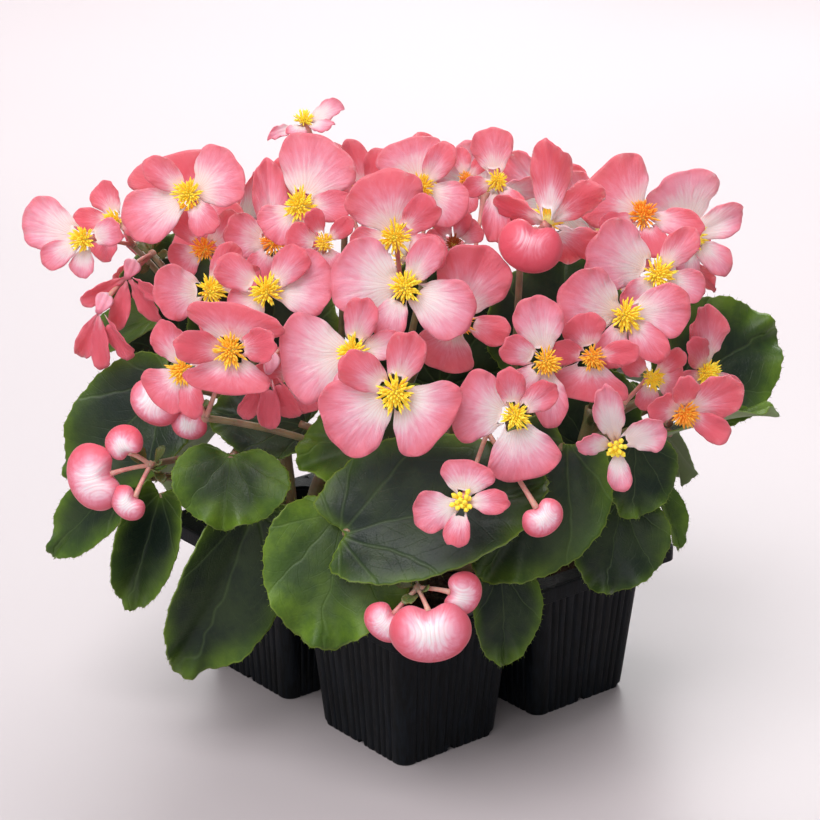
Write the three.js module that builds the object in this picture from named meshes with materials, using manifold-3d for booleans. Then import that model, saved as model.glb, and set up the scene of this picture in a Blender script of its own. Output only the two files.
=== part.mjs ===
// Four wax begonias in full bloom, growing in a thin black plastic pack of four cells.
// Millimetres, +Z up. The pack's sides lie along X and Y, and the origin is the middle of the base of the
// whole object's box. The plants are set out on axes turned from the pack's sides, because the pack is shown
// corner first: across runs to the right of someone who faces the front corner, and out runs towards them.
import * as THREE from "three";
import { mergeVertices } from "three/addons/utils/BufferGeometryUtils.js";
import Module from "manifold-3d";

const wasm = await Module();
wasm.setup();

// Driving dimensions of the pack
const PITCH_X = 64; // from cell to cell
const PITCH_Y = 59;
const CELL_TOP_X = 55.3;
const CELL_TOP_Y = 51;
const CELL_HEIGHT = 53.6;
const CELL_TAPER = 0.814; // a cell's width at its foot over its width at the rim
const CELL_CORNER = 5;
const WALL = 0.9;
const FLOOR = 1.2;
const RIM_BEYOND = 3; // how far the rim reaches past the outer cells' half pitch
const RIM_THICKNESS = 1.1;
const RIM_CORNER = 4;
const LIP_HEIGHT = 4.2;
const FLUTES_A_SIDE = 3;
const FLUTE_DEPTH = 0.5;
const FLUTE_WIDTH = 2.4;
const NOTCH_HEIGHT = 1.6;
const NOTCH_WIDTH = 3;
const STEP_WIDTH = 8;

// Driving dimensions of the soil and the plants
const SOIL_TOP = 49.5;
const SEAT_GAP = 0.3;
const CROWN_RADIUS = 4.5;
const CROWN_SINK = 9;
const CROWN_ABOVE = 4; // how far the crown stands out of the soil
const CROWN_SIDES = 7;
const STEM_RADIUS = 2.6;
const STEM_TOP = 104;
const STEM_LEAN = 17;
const STEM_MIDDLE_LEAN = 12.75;
const PETIOLE_RADIUS = 1.5;
const PEDUNCLE_RADIUS = 1.15;
const PEDICEL_RADIUS = 0.75;
const HUB_RADIUS = 1.9;
const PEDICEL_REACH = 20; // from a bloom back to the fork of its spray
const BUD_REACH = 12; // from a bud back to its fork
const FORK_DROP = 6; // how far a fork hangs below the middle of what it carries
const LEAF_DROP = 18; // how far below its leaf a leaf stalk springs from the stem
const FORK_DROP_TO_STEM = 20;
const ARCH_MIDDLE = 0.45; // where along a stalk its bow is highest
const LEAF_STALK_RISE = 7; // how far a stalk bows upwards
const FLOWER_STALK_RISE = 6;
const LEAF_STALK_RUN = 2.5; // how far a leaf's stalk runs into the blade
const CRUMBS = 3;
const CRUMB_TURN = 2.4; // radians from one crumb to the next
const CRUMB_RING = 9;
const CRUMB_SIZE = 2.1;
const BLADE_THICKNESS = 1;
const BIG_LENGTH = 25.5;
const BIG_WIDTH = 27.5;
const SMALL_LENGTH = 16.5;
const SMALL_WIDTH = 10.5;
const BOSS_RADIUS = 5;
const BOSS_HEIGHT = 6.2;
const BOSS_HIGH = 0.66; // radius of the crown's high points, as a share of the low ones'
const BOSS_LOW = 0.6; // height of its low points, as a share of the high ones'
const BOSS_PEAK = 0.85;
const CLAW_GAP = 3; // least angle between two petals' claws, in degrees
const FEMALE_LIFT = 22;
const FEMALE_WIDTH = 0.7;
const FEMALE_BOSS = 0.5;
const SEED_CASE_LENGTH = 9;
const SEED_CASE_RADIUS = 2.6;
const FEMALE_STALK_END = 6; // how far behind a female flower's middle its stalk ends, inside the seed case
const BUD_SHORTNESS = 0.84; // a bud's length over its width
const BUD_THICKNESS = 0.48;
const BUD_NOTCH = 0.3;
const BUD_ROOT = 0.25; // how far from a bud's middle its stalk ends, as a share of its width
const SMALL_LIFT = 12; // how much more the small petals lift, in degrees
const SMALL_STEP = 1.2; // how far the small petals stand in front of the big ones at the hub
const HUB_RING = 2.6; // radius at which a bloom's petals join
const CLAW_HALF_ANGLE = 24;
const CONE_DEPTH = 3;

const SMALLEST_STEP = 0.05; // slivers thinner than this are closed up where pieces join

const LAYOUT_TURN = THREE.MathUtils.degToRad(51);

const PLASTIC = { color: 0x15181b, roughness: 0.42, metalness: 0 };
const PEAT = { color: 0x2c211a, roughness: 0.95, metalness: 0 };
const LEAF = { color: 0x33502c, roughness: 0.4, metalness: 0 };
const PETAL = { color: 0xe8808f, roughness: 0.5, metalness: 0 };

// A bloom's row: across, out, up of its centre; the way it faces, in degrees to the right and up; its size;
// the angles of its two big and two small petals, counter-clockwise from its right; how far the petals lift
// towards its face, in degrees; and how wide and how long its two big petals are, as shares of a full petal.
// A bud's row: across, out, up; facing right and up; width; the angle of its stalk.
// A female flower's row: as a bloom's up to its size, then its first petal's angle, their spread and number.
// A fork's row: across, out, up, for a spray whose stalks part somewhere else than right behind its blooms.
const SPRAYS = [
  {
    plant: "left",
    blooms: [
      [-75, 12, 180, -12, 24, 0.95, 32, 213, 146, 307, 14, 0.83, 0.7, 0.73, 0.9],
      [-77, -14, 166, -8, 20, 1, 102, 336, 169, 272, 14, 1.3, 0.74, 0.74, 0.64],
    ],
  },
  {
    plant: "left",
    blooms: [
      [-101, -4, 166, -35, 12, 0.8, 122, 248, 185, 5, 12, 0.54, 0.54, 0.6, 0.61],
      [-111, 6, 163, -18, 14, 0.85, 164, 271, 215, 18, 8, 0.75, 0.37, 0.96, 0.5],
    ],
  },
  {
    plant: "left",
    fork: [-90, -6, 154],
    females: [
      [-97, 11, 151, -10, -20, 0.95, 206, 154, 4],
      [-106, 21, 142, -16, -24, 1, 245, 64, 3],
    ],
  },
  {
    plant: "left",
    blooms: [
      [-71, 8, 160, -5, 18, 0.8, 29, 210, 328, 128, 18, 0.73, 0.58, 0.75, 0.5],
      [-48, 14, 164, 10, 26, 0.9, 92, 166, 33, 238, 20, 0.48, 0.62, 1.1, 0.65],
    ],
  },
  {
    plant: "left",
    fork: [-24, 2, 172],
    blooms: [
      [-38, -9, 199, 8, 55, 0.62, 18, 219, 245, 317, 20, 0.48, 0.3, 0.76, 0.92],
      [-38, 29, 181, -4, 24, 1, 69, 221, 358, 277, 14, 0.93, 0.52, 0.83, 0.5],
    ],
  },
  {
    plant: "front",
    blooms: [
      [-48, 58, 161, 0, 30, 1, 12, 218, 151, 46, 14, 0.78, 0.52, 0.75, 0.42],
      [-67, 47, 158, 20, 24, 0.9, 177, 13, 56, 261, 12, 0.73, 0.36, 0.72, 0.68],
    ],
  },
  {
    plant: "front",
    fork: [-68, 62, 120],
    blooms: [
      [-58, 79, 149, -8, 15, 1, 82, 268, 174, 14, 26, 1.1, 0.97, 0.52, 0.46],
      [-74, 66, 138, -18, 12, 0.85, 118, 230, 7, 299, 14, 0.5, 0.72, 0.67, 0.56],
    ],
  },
  {
    plant: "front",
    blooms: [
      [-20, 79, 148, -4, 20, 1, 186, 16, 78, 265, 14, 1, 0.34, 0.8, 0.58],
      [-7, 95, 141, 0, 16, 1.12, 210, 322, 147, 75, 12, 0.78, 0.84, 0.78, 0.62],
    ],
  },
  {
    plant: "front",
    blooms: [
      [-4, 65, 165, 0, 22, 1, 167, 332, 55, 246, 12, 0.91, 0.69, 0.81, 0.85],
      [-7, 47, 176, 0, 16, 1, 105, 200, 338, 43, 14, 0.92, 0.51, 0.75, 0.49],
    ],
  },
  {
    plant: "front",
    blooms: [
      [1, 32, 188, 4, 24, 0.9, 110, 326, 53, 210, 14, 0.86, 0.66, 0.62, 0.62],
      [16, 8, 184, 0, 24, 0.5, 102, 270, 44, 217, 18, 0.48, 0.63, 0.67, 0.73],
    ],
  },
  {
    plant: "right",
    blooms: [
      [26, 20, 187, 5, 20, 0.66, 98, 265, 303, 194, 16, 0.76, 0.51, 0.91, 1.1],
      [42, 38, 178, 168, 24, 1.1, 93, 240, 151, 358, 14, 0.44, 0.65, 0.99, 0.71],
    ],
    buds: [
      [36, 49, 174, -8, 16, 21, 75],
    ],
  },
  {
    plant: "front",
    blooms: [
      [-30, 43, 173, 4, 20, 0.6, 174, 287, 37, 112, 18, 0.7, 0.62, 0.67, 0.56],
      [-38, 55, 132, -4, 8, 0.8, 280, 112, 170, 6, 16, 0.68, 0.68, 0.48, 0.44],
    ],
    females: [
      [-47, 72, 139, 0, -30, 1, 240, 60, 3],
    ],
  },
  {
    plant: "front",
    blooms: [
      [12, 26, 167, 0, 34, 0.55, 42, 178, 67, 124, 20, 0.71, 0.63, 0.59, 0.53],
      [13, 53, 150, 10, 12, 0.9, 71, 240, 343, 145, 12, 0.98, 0.82, 0.99, 0.63],
    ],
  },
  {
    plant: "right",
    blooms: [
      [40, 78, 145, 4, 14, 0.85, 101, 275, 157, 218, 10, 0.67, 0.46, 0.87, 0.85],
      [55, 70, 144, 4, 6, 0.78, 260, 108, 165, 12, 14, 1.2, 0.64, 0.61, 0.63],
    ],
  },
  {
    plant: "front",
    fork: [34, 66, 133],
    blooms: [
      [30, 91, 132, 4, 10, 0.85, 165, 281, 99, 40, 10, 0.96, 0.93, 0.78, 0.85],
    ],
  },
  {
    plant: "front",
    fork: [22, 80, 122],
    blooms: [
      [14, 106, 109, -4, 22, 0.75, 83, 199, 261, 2, 12, 0.81, 0.63, 0.55, 0.71],
    ],
    buds: [
      [39, 97, 100, 15, 10, 14, 120],
    ],
  },
  {
    plant: "right",
    blooms: [
      [66, 56, 153, 8, 14, 1, 158, 5, 308, 242, 14, 0.81, 0.63, 0.79, 0.74],
      [78, 33, 159, 14, 20, 1, 153, 335, 50, 217, 14, 0.83, 0.41, 0.95, 0.57],
    ],
  },
  {
    plant: "right",
    blooms: [
      [75, 10, 172, 0, 30, 0.95, 141, 344, 207, 284, 20, 1.1, 0.39, 0.78, 0.78],
      [92, -6, 160, 28, 14, 0.95, 103, 18, 309, 243, 14, 1.1, 0.44, 0.85, 0.8],
    ],
  },
  {
    plant: "right",
    blooms: [
      [62, 86, 120, 4, -6, 0.72, 103, 27, 161, 277, 16, 0.5, 0.61, 1.2, 0.79],
      [76, 48, 129, 10, 6, 0.7, 257, 346, 143, 46, 16, 0.46, 0.64, 0.49, 0.45],
    ],
  },
  {
    plant: "right",
    fork: [84, 30, 106],
    blooms: [
      [85, 66, 124, 10, -6, 0.85, 30, 164, 333, 98, 16, 0.67, 0.5, 0.82, 0.46],
      [96, 25, 122, 24, 10, 0.9, 95, 322, 122, 190, 18, 0.57, 0.38, 0.97, 0.51],
    ],
  },
  {
    plant: "left",
    fork: [-87, 55, 101],
    buds: [
      [-105, 58, 98, -20, 5, 23, 18],
      [-95, 58, 110, -20, 5, 14, 300],
      [-94, 63, 91, -15, 0, 13, 40],
    ],
  },
  {
    plant: "front",
    fork: [0, 97, 76],
    buds: [
      [4, 105, 65, 0, 0, 26, 95],
      [-10, 101, 66, -10, 0, 15, 50],
      [14, 101, 76, 10, 0, 15, 170],
    ],
  },
  {
    plant: "left",
    buds: [
      [-85, 53, 122, -20, 5, 18, 65],
      [-74, 55, 115, -10, 0, 12, 80],
    ],
  },
  {
    plant: "right",
    blooms: [
      [64, -46, 150, 130, 30, 0.95, 60, 235, 150, 320, 14, 1, 0.8, 0.9, 0.8],
      [92, -44, 140, 112, 10, 0.95, 120, 300, 210, 30, 14, 0.9, 1, 0.85, 0.9],
    ],
  },
  {
    plant: "back",
    blooms: [
      [24, -44, 165, 160, 52, 0.9, 20, 195, 105, 285, 14, 1, 0.9, 0.9, 0.8],
    ],
  },
  {
    plant: "back",
    blooms: [
      [-26, -44, 166, -160, 50, 0.9, 165, 340, 75, 255, 14, 1, 0.9, 0.9, 0.9],
      [-17, -16, 172, 0, 34, 0.85, 110, 11, 69, 168, 16, 0.44, 0.67, 0.8, 0.3],
    ],
  },
  {
    plant: "left",
    blooms: [
      [-64, -50, 150, -130, 30, 0.95, 130, 310, 40, 220, 14, 1, 0.9, 0.9, 0.8],
      [-93, -46, 138, -116, 8, 0.9, 75, 255, 165, 345, 14, 1, 0.8, 0.9, 0.9],
    ],
  },
  {
    plant: "back",
    blooms: [
      [50, -76, 150, 150, 20, 0.98, 25, 215, 120, 300, 14, 1, 0.9, 0.9, 0.9],
      [70, -78, 118, 136, 0, 0.9, 100, 280, 10, 190, 16, 0.8, 1, 0.9, 0.9],
    ],
  },
  {
    plant: "back",
    blooms: [
      [5, -80, 158, 178, 25, 1, 170, 335, 80, 255, 12, 1, 0.9, 0.9, 0.9],
      [-4, -95, 124, -176, 4, 0.95, 200, 335, 90, 268, 12, 1, 0.9, 0.9, 0.9],
    ],
  },
  {
    plant: "back",
    blooms: [
      [-42, -79, 151, -152, 18, 0.98, 150, 345, 60, 250, 14, 1, 0.9, 0.9, 0.9],
      [-66, -80, 118, -142, 0, 0.9, 95, 265, 180, 0, 16, 1, 0.9, 0.9, 0.9],
    ],
  },
];

// A leaf's row: its plant; where its stalk meets the blade; its tip; its width; the way its upper face looks,
// in degrees to the right and up; and how much it folds along its midrib.
const LEAVES = [
  ["left", [-82, 20, 117], [-117, 28, 87], 40, -15, 32, 0.1],
  ["left", [-90, -10, 130], [-117, -10, 121], 21, -20, 66, 0.15],
  ["left", [-97, 26, 86], [-127, 22, 57], 23, -20, 40, 0.1],
  ["left", [-85, 43, 87], [-97, 46, 46], 21, -4, 8, 0.5],
  ["left", [-60, 62, 108], [-63, 74, 88], 38, -5, 40, 0.1],
  ["left", [-53, 58, 87], [-76, 64, 30], 38, 22, 14, 0.22],
  ["front", [-36, 48, 112], [-67, 46, 117], 28, -6, 50, 0.1],
  ["front", [-24, 77, 94], [-31, 96, 57], 48, -6, 34, 0.08],
  ["front", [-25, 85, 89], [36, 91, 109], 46, 4, 36, 0.1],
  ["front", [10, 58, 114], [-36, 68, 111], 38, 0, 42, 0.08],
  ["front", [48, 66, 114], [23, 84, 75], 44, 16, 26, 0.08],
  ["front", [27, 73, 72], [29, 82, 43], 24, 20, 10, 0.1],
  ["right", [67, 49, 86], [62, 62, 60], 34, 18, 28, 0.12],
  ["right", [71, 50, 108], [71, 61, 86], 28, 30, 24, 0.12],
  ["right", [81, 38, 85], [89, 42, 67], 12, 50, 20, 0.25],
  ["right", [88, 14, 111], [121, 0, 130], 44, 24, 32, 0.08],
  ["right", [82, 33, 103], [117, 27, 113], 28, 170, 74, 0.1],
  ["right", [79, -12, 97], [96, -24, 68], 38, 102, 34, 0.1],
  ["left", [-84, -24, 104], [-114, -34, 78], 44, -105, 40, 0.1],
  ["back", [58, -40, 100], [97, -62, 88], 44, 125, 45, 0.1],
  ["back", [30, -60, 96], [54, -102, 78], 46, 150, 40, 0.1],
  ["back", [-5, -62, 106], [-8, -110, 88], 46, 180, 42, 0.1],
  ["back", [-34, -60, 96], [-61, -98, 78], 44, -150, 40, 0.1],
  ["left", [-62, -40, 100], [-103, -58, 88], 44, -125, 42, 0.1],
  ["right", [66, -40, 84], [90, -62, 52], 38, 125, 20, 0.12],
  ["left", [-66, -38, 84], [-92, -60, 52], 38, -125, 20, 0.12],
  ["right", [60, -2, 84], [62, -2, 114], 36, 0, 12, 0.1],
  ["right", [50, -18, 106], [52, -22, 148], 50, 0, 12, 0.1],
  ["left", [-82, -18, 112], [-86, -26, 152], 42, 0, 12, 0.1],
  ["back", [8, -30, 97], [9, -24, 146], 56, 0, 12, 0.1],
  ["left", [-54, -12, 106], [-46, -16, 148], 52, 0, 12, 0.1],
];

const CELLS = {
  front: [PITCH_X / 2, -PITCH_Y / 2],
  right: [PITCH_X / 2, PITCH_Y / 2],
  left: [-PITCH_X / 2, -PITCH_Y / 2],
  back: [-PITCH_X / 2, PITCH_Y / 2],
};

const degrees = THREE.MathUtils.degToRad;
const ACROSS = new THREE.Vector3(Math.cos(LAYOUT_TURN), Math.sin(LAYOUT_TURN), 0);
const OUT = new THREE.Vector3(Math.sin(LAYOUT_TURN), -Math.cos(LAYOUT_TURN), 0);
const UP = new THREE.Vector3(0, 0, 1);

// The point at these distances across, out and up.
function spot([across, out, up]) {
  return new THREE.Vector3()
    .addScaledVector(ACROSS, across)
    .addScaledVector(OUT, out)
    .addScaledVector(UP, up);
}

// The direction that looks this far to the right of out, and this far up.
function facing(right, up) {
  const level = Math.cos(degrees(up));
  return new THREE.Vector3()
    .addScaledVector(ACROSS, level * Math.sin(degrees(right)))
    .addScaledVector(OUT, level * Math.cos(degrees(right)))
    .addScaledVector(UP, Math.sin(degrees(up)));
}

// A closed surface's manifold solid, from its points and its triangles.
function solidFrom(points, triangles) {
  return new wasm.Manifold(
    new wasm.Mesh({
      numProp: 3,
      vertProperties: new Float32Array(points.flatMap((p) => [p.x, p.y, p.z])),
      triVerts: new Uint32Array(triangles.flat()),
    }),
  );
}

// A three.js geometry as a manifold solid, with its shared vertices merged.
function solidOf(geometry) {
  geometry.deleteAttribute("normal");
  geometry.deleteAttribute("uv");
  const merged = mergeVertices(geometry, 1e-4);
  return new wasm.Manifold(
    new wasm.Mesh({
      numProp: 3,
      vertProperties: merged.attributes.position.array,
      triVerts: new Uint32Array(merged.index.array),
    }),
  );
}

const joined = (solids) => wasm.Manifold.union(solids);

// The largest body of a solid, without its smallest slivers: the scraps that a join or cut leaves loose are
// dropped.
function mainBody(solid) {
  return solid
    .simplify(SMALLEST_STEP)
    .decompose()
    .reduce((a, b) => (b.volume() > a.volume() ? b : a));
}

function meshOf(name, solid, look) {
  const { vertProperties, triVerts } = mainBody(solid).getMesh();
  const geometry = new THREE.BufferGeometry()
    .setAttribute("position", new THREE.BufferAttribute(vertProperties, 3))
    .setIndex(new THREE.BufferAttribute(triVerts, 1));
  geometry.computeVertexNormals();
  const mesh = new THREE.Mesh(geometry, new THREE.MeshStandardMaterial(look));
  mesh.name = name;
  return mesh;
}

// A stalk of even thickness along a curve.
function stalk(curve, radius, sides, steps) {
  const section = new THREE.Shape(
    Array.from({ length: sides }, (_, i) => {
      const turn = (2 * Math.PI * i) / sides;
      return new THREE.Vector2(radius * Math.cos(turn), radius * Math.sin(turn));
    }),
  );
  return solidOf(new THREE.ExtrudeGeometry(section, { extrudePath: curve, steps }));
}

// A stalk's curve, which leaves its start upwards and bends over to its end.
function arch(start, end, rise) {
  const middle = start.clone().lerp(end, ARCH_MIDDLE);
  middle.z += rise;
  return new THREE.QuadraticBezierCurve3(start, middle, end);
}

// A thin blade's solid: a sheet of triangles over an outline and the points inside it, given a thickness.
// height gives a flat point's height, and place carries a point of the blade into the part.
function bladeSolid(flat, rim, faces, height, place) {
  const half = BLADE_THICKNESS / 2;
  const side = (shift) => flat.map(([x, y]) => place(x, y, height(x, y) + shift));
  const n = flat.length;
  const top = faces;
  const bottom = faces.map(([a, b, c]) => [a + n, c + n, b + n]);
  const edge = rim.flatMap((a, i) => {
    const b = rim[(i + 1) % rim.length];
    return [
      [a, a + n, b + n],
      [a, b + n, b],
    ];
  });
  return solidFrom([...side(half), ...side(-half)], [...top, ...bottom, ...edge]);
}

// Half the width of a petal at an angle along its edge, from 0 at its claw to 180 at its tip, over half its
// greatest width: a claw that widens to a broad round end.
const petalEdge = (turn) => Math.sin(turn) * (1 - 0.3 * Math.cos(turn));

// A petal's sheet: its flat points as shares of its length and half width, the two corners of its claw first
// and last, then the points down its middle, and its triangles.
function petalSheet(turns, middles) {
  const along = (turn) => (1 - Math.cos(turn)) / 2;
  const right = turns.map((turn) => [along(turn), -petalEdge(turn)]);
  const left = turns.map((turn) => [along(turn), petalEdge(turn)]).reverse();
  const rim = [[0, -0.2], ...right, ...left, [0, 0.2]];
  const flat = [...rim, ...middles.map((v) => [v, 0])];
  const loop = rim.map((_, i) => i);
  const faces = middles.length
    ? facesRound(flat, loop, rim.length)
    : THREE.ShapeUtils.triangulateShape(rim.map(([v, h]) => new THREE.Vector2(v, h)), []);
  return { flat, loop, faces };
}

// Triangles between a rim and a line of points down the middle: each rim edge joins its nearest middle
// point, and neighbouring middle points are bridged where the nearest one changes.
function facesRound(flat, rim, firstMiddle) {
  const nearest = (i) => {
    let best = firstMiddle;
    for (let m = firstMiddle; m < flat.length; m++) {
      if (Math.abs(flat[m][0] - flat[i][0]) < Math.abs(flat[best][0] - flat[i][0])) best = m;
    }
    return best;
  };
  return rim.flatMap((a, k) => {
    const b = rim[(k + 1) % rim.length];
    const from = nearest(a);
    const to = nearest(b);
    return from === to ? [[a, b, from]] : [[a, b, from], [b, to, from]];
  });
}

const BIG_SHEET = petalSheet([58, 104, 148].map(degrees), [0.5]);
const SMALL_SHEET = petalSheet([74, 140].map(degrees), []);

// A bloom's own axes: its right, its top and the way it faces.
function bloomAxes(right, up) {
  const face = facing(right, up);
  const side = new THREE.Vector3()
    .addScaledVector(ACROSS, Math.cos(degrees(right)))
    .addScaledVector(OUT, -Math.sin(degrees(right)));
  return { side, top: face.clone().cross(side), face };
}

// Carries a petal's point, given along, sideways and above the petal, into the part. step is how far the
// whole petal stands in front of the bloom's middle.
function petalPlace(centre, axes, angle, lift, step) {
  const turn = degrees(angle);
  const way = axes.side.clone().multiplyScalar(Math.cos(turn)).addScaledVector(axes.top, Math.sin(turn));
  const beside = axes.face.clone().cross(way);
  const rise = degrees(lift);
  return (x, y, z) =>
    centre
      .clone()
      .addScaledVector(way, HUB_RING + x * Math.cos(rise) - z * Math.sin(rise))
      .addScaledVector(beside, y)
      .addScaledVector(axes.face, step + x * Math.sin(rise) + z * Math.cos(rise));
}

// The height of a petal above its own plane: its end curls back and its sides lift, more on a folded petal.
function petalHeight(length, fullWidth, width) {
  const fold = 0.1 + 0.6 * (1 - width);
  return (x, y) => {
    const v = x / length;
    const s = (2 * y) / (fullWidth * width);
    return length * (0.1 * v - 0.16 * v * v + fold * 0.35 * s * s * v);
  };
}

function petalAt(centre, axes, angle, length, fullWidth, width, sheet, lift, step) {
  return {
    angle,
    step,
    place: petalPlace(centre, axes, angle, lift, step),
    height: petalHeight(length, fullWidth, Math.min(width, 1)),
    length,
    half: (fullWidth * width) / 2,
    sheet,
  };
}

// The petals of a bloom, each with its place, its size and its sheet.
function petalsOf(row) {
  const [across, out, up, right, tilt, size, bigA, bigB, smallA, smallB, lift, wideA, wideB, longA, longB] = row;
  const centre = spot([across, out, up]);
  const axes = bloomAxes(right, tilt);
  const big = (angle, width, long) =>
    petalAt(centre, axes, angle, BIG_LENGTH * size * long, BIG_WIDTH * size, width, BIG_SHEET, lift, 0);
  const [length, breadth] = [SMALL_LENGTH * size, SMALL_WIDTH * size];
  const small = (angle) =>
    petalAt(centre, axes, angle, length, breadth, 1, SMALL_SHEET, lift + SMALL_LIFT, SMALL_STEP);
  return [big(bigA, wideA, longA), big(bigB, wideB, longB), small(smallA), small(smallB)];
}

// A whole bloom as one closed skin: a small hub whose ring the petals' claws share, the petals as blades, the
// boss of stamens as a crown of points over the hub, and a short cone behind it.
function bloomSolid(row, petals, bossScale) {
  const [across, out, up, facingRight, tilt, size] = row;
  const centre = spot([across, out, up]);
  const { side, top, face } = bloomAxes(facingRight, tilt);
  const point = (radius, turn, height) =>
    centre
      .clone()
      .addScaledVector(side, radius * Math.cos(turn))
      .addScaledVector(top, radius * Math.sin(turn))
      .addScaledVector(face, height);
  const half = BLADE_THICKNESS / 2;
  const points = [];
  const faces = [];
  // Adds a point of the sheet on both of its sides, and gives the upper one's number: the lower one follows.
  const pair = (upper, lower) => points.push(upper, lower) - 2;
  const wall = (a, b) => faces.push([a, a + 1, b + 1], [a, b + 1, b]);
  const whole = (angle) => ((angle % 360) + 360) % 360;
  const sorted = [...petals].sort((a, b) => whole(a.angle) - whole(b.angle));
  const ring = [];
  sorted.forEach((petal, i) => {
    const before = sorted[(i + sorted.length - 1) % sorted.length];
    const after = sorted[(i + 1) % sorted.length];
    const gapBefore = whole(petal.angle - before.angle) || 360;
    const gapAfter = whole(after.angle - petal.angle) || 360;
    const claw = (gap) => degrees(Math.min(CLAW_HALF_ANGLE, gap / 2 - CLAW_GAP));
    const turn = degrees(petal.angle);
    const corner = (angle) =>
      pair(point(HUB_RING, angle, petal.step + half), point(HUB_RING, angle, petal.step - half));
    const first = corner(turn - claw(gapBefore));
    const { flat, loop, faces: sheetFaces } = petal.sheet;
    const last = corner(turn + claw(gapAfter));
    const numbers = flat.map(([v, s], k) => {
      if (k === 0) return first;
      if (k === loop.length - 1) return last;
      const x = v * petal.length;
      const y = s * petal.half;
      const z = petal.height(x, y);
      return pair(petal.place(x, y, z + half), petal.place(x, y, z - half));
    });
    sheetFaces.forEach(([a, b, c]) => {
      faces.push([numbers[a], numbers[b], numbers[c]]);
      faces.push([numbers[a] + 1, numbers[c] + 1, numbers[b] + 1]);
    });
    loop.slice(1).forEach((k) => wall(numbers[k - 1], numbers[k]));
    ring.push(first, last);
  });
  ring.forEach((a, i) => {
    if (i % 2) wall(a, ring[(i + 1) % ring.length]);
  });
  const boss = ring.map((_, i) => {
    const turn = degrees(whole(sorted[i >> 1].angle)) + (i % 2 ? 0.5 : -0.5);
    const high = i % 2;
    const radius = BOSS_RADIUS * size * bossScale * (high ? BOSS_HIGH : 1);
    return points.push(point(radius, turn, BOSS_HEIGHT * size * (high ? 1 : BOSS_LOW))) - 1;
  });
  const peak = points.push(point(0, 0, BOSS_HEIGHT * size * BOSS_PEAK)) - 1;
  const cone = points.push(point(0, 0, -CONE_DEPTH)) - 1;
  ring.forEach((a, i) => {
    const next = (i + 1) % ring.length;
    const b = ring[next];
    faces.push([a, b, boss[next]], [a, boss[next], boss[i]], [boss[i], boss[next], peak]);
    faces.push([cone, b + 1, a + 1]);
  });
  return solidFrom(points, faces);
}

// A closed bud: a flat purse with a notch where its stalk joins it.
function budSolid([across, out, up, right, tilt, width, stalkAngle]) {
  const centre = spot([across, out, up]);
  const { side, top, face } = bloomAxes(right, tilt);
  const turn = degrees(stalkAngle);
  const way = side.clone().multiplyScalar(Math.cos(turn)).addScaledVector(top, Math.sin(turn));
  const beside = face.clone().cross(way);
  const ball = new THREE.SphereGeometry(1, 8, 5);
  const at = ball.attributes.position;
  for (let i = 0; i < at.count; i++) {
    const x = at.getY(i);
    const y = at.getX(i);
    const notch = x > 0 ? BUD_NOTCH * Math.exp(-((y / 0.35) ** 2)) : 0;
    const point = centre
      .clone()
      .addScaledVector(way, (width / 2) * (BUD_SHORTNESS * x - notch))
      .addScaledVector(beside, (width / 2) * y)
      .addScaledVector(face, (width / 2) * BUD_THICKNESS * at.getZ(i));
    at.setXYZ(i, point.x, point.y, point.z);
  }
  const solid = solidOf(ball);
  return solid.volume() < 0 ? reversed(ball) : solid;
}

// A geometry whose triangles are turned round.
function reversed(geometry) {
  const merged = mergeVertices(geometry, 1e-4);
  return new wasm.Manifold(
    new wasm.Mesh({
      numProp: 3,
      vertProperties: merged.attributes.position.array,
      triVerts: new Uint32Array(merged.index.array).reverse(),
    }),
  );
}

// Where a bud's stalk joins it.
function budRoot([across, out, up, right, tilt, width, stalkAngle]) {
  const { side, top } = bloomAxes(right, tilt);
  const turn = degrees(stalkAngle);
  return spot([across, out, up])
    .addScaledVector(side, BUD_ROOT * width * Math.cos(turn))
    .addScaledVector(top, BUD_ROOT * width * Math.sin(turn));
}

// The narrow pointed petals of a female flower.
function femalePetals([across, out, up, right, tilt, size, first, spread, count]) {
  const centre = spot([across, out, up]);
  const axes = bloomAxes(right, tilt);
  return Array.from({ length: count }, (_, i) => {
    const angle = first + (spread * i) / (count - 1);
    const lift = FEMALE_LIFT + SMALL_LIFT * (i % 2);
    const width = SMALL_WIDTH * size;
    const step = (i % 2) * SMALL_STEP;
    return petalAt(centre, axes, angle, SMALL_LENGTH * size, width, FEMALE_WIDTH, SMALL_SHEET, lift, step);
  });
}

// A female flower: its petals on a three-winged seed case.
function femaleSolids(row) {
  const centre = spot(row);
  const way = facing(row[3], row[4]);
  const back = centre.clone().addScaledVector(way, -SEED_CASE_LENGTH);
  const front = centre.clone().addScaledVector(way, -BLADE_THICKNESS / 2);
  const seedCase = stalk(new THREE.LineCurve3(back, front), SEED_CASE_RADIUS, 3, 1);
  return [bloomSolid(row, femalePetals(row), FEMALE_BOSS), seedCase];
}

function hubSolid(centre) {
  return solidOf(new THREE.OctahedronGeometry(HUB_RADIUS).translate(centre.x, centre.y, centre.z));
}

// The fork of a spray: where its row puts it, or behind and below the middle of what it carries.
function forkOf({ fork, blooms = [], buds = [], females = [] }) {
  if (fork) return spot(fork);
  const backs = [
    ...blooms.map((row) => spot(row).addScaledVector(facing(row[3], row[4]), -PEDICEL_REACH)),
    ...females.map((row) => spot(row).addScaledVector(facing(row[3], 0), -PEDICEL_REACH)),
    ...buds.map((row) => budRoot(row).addScaledVector(facing(row[3], row[4]), -BUD_REACH)),
  ];
  const middle = backs.reduce((sum, p) => sum.add(p), new THREE.Vector3()).divideScalar(backs.length);
  middle.z -= FORK_DROP;
  return middle;
}

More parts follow.
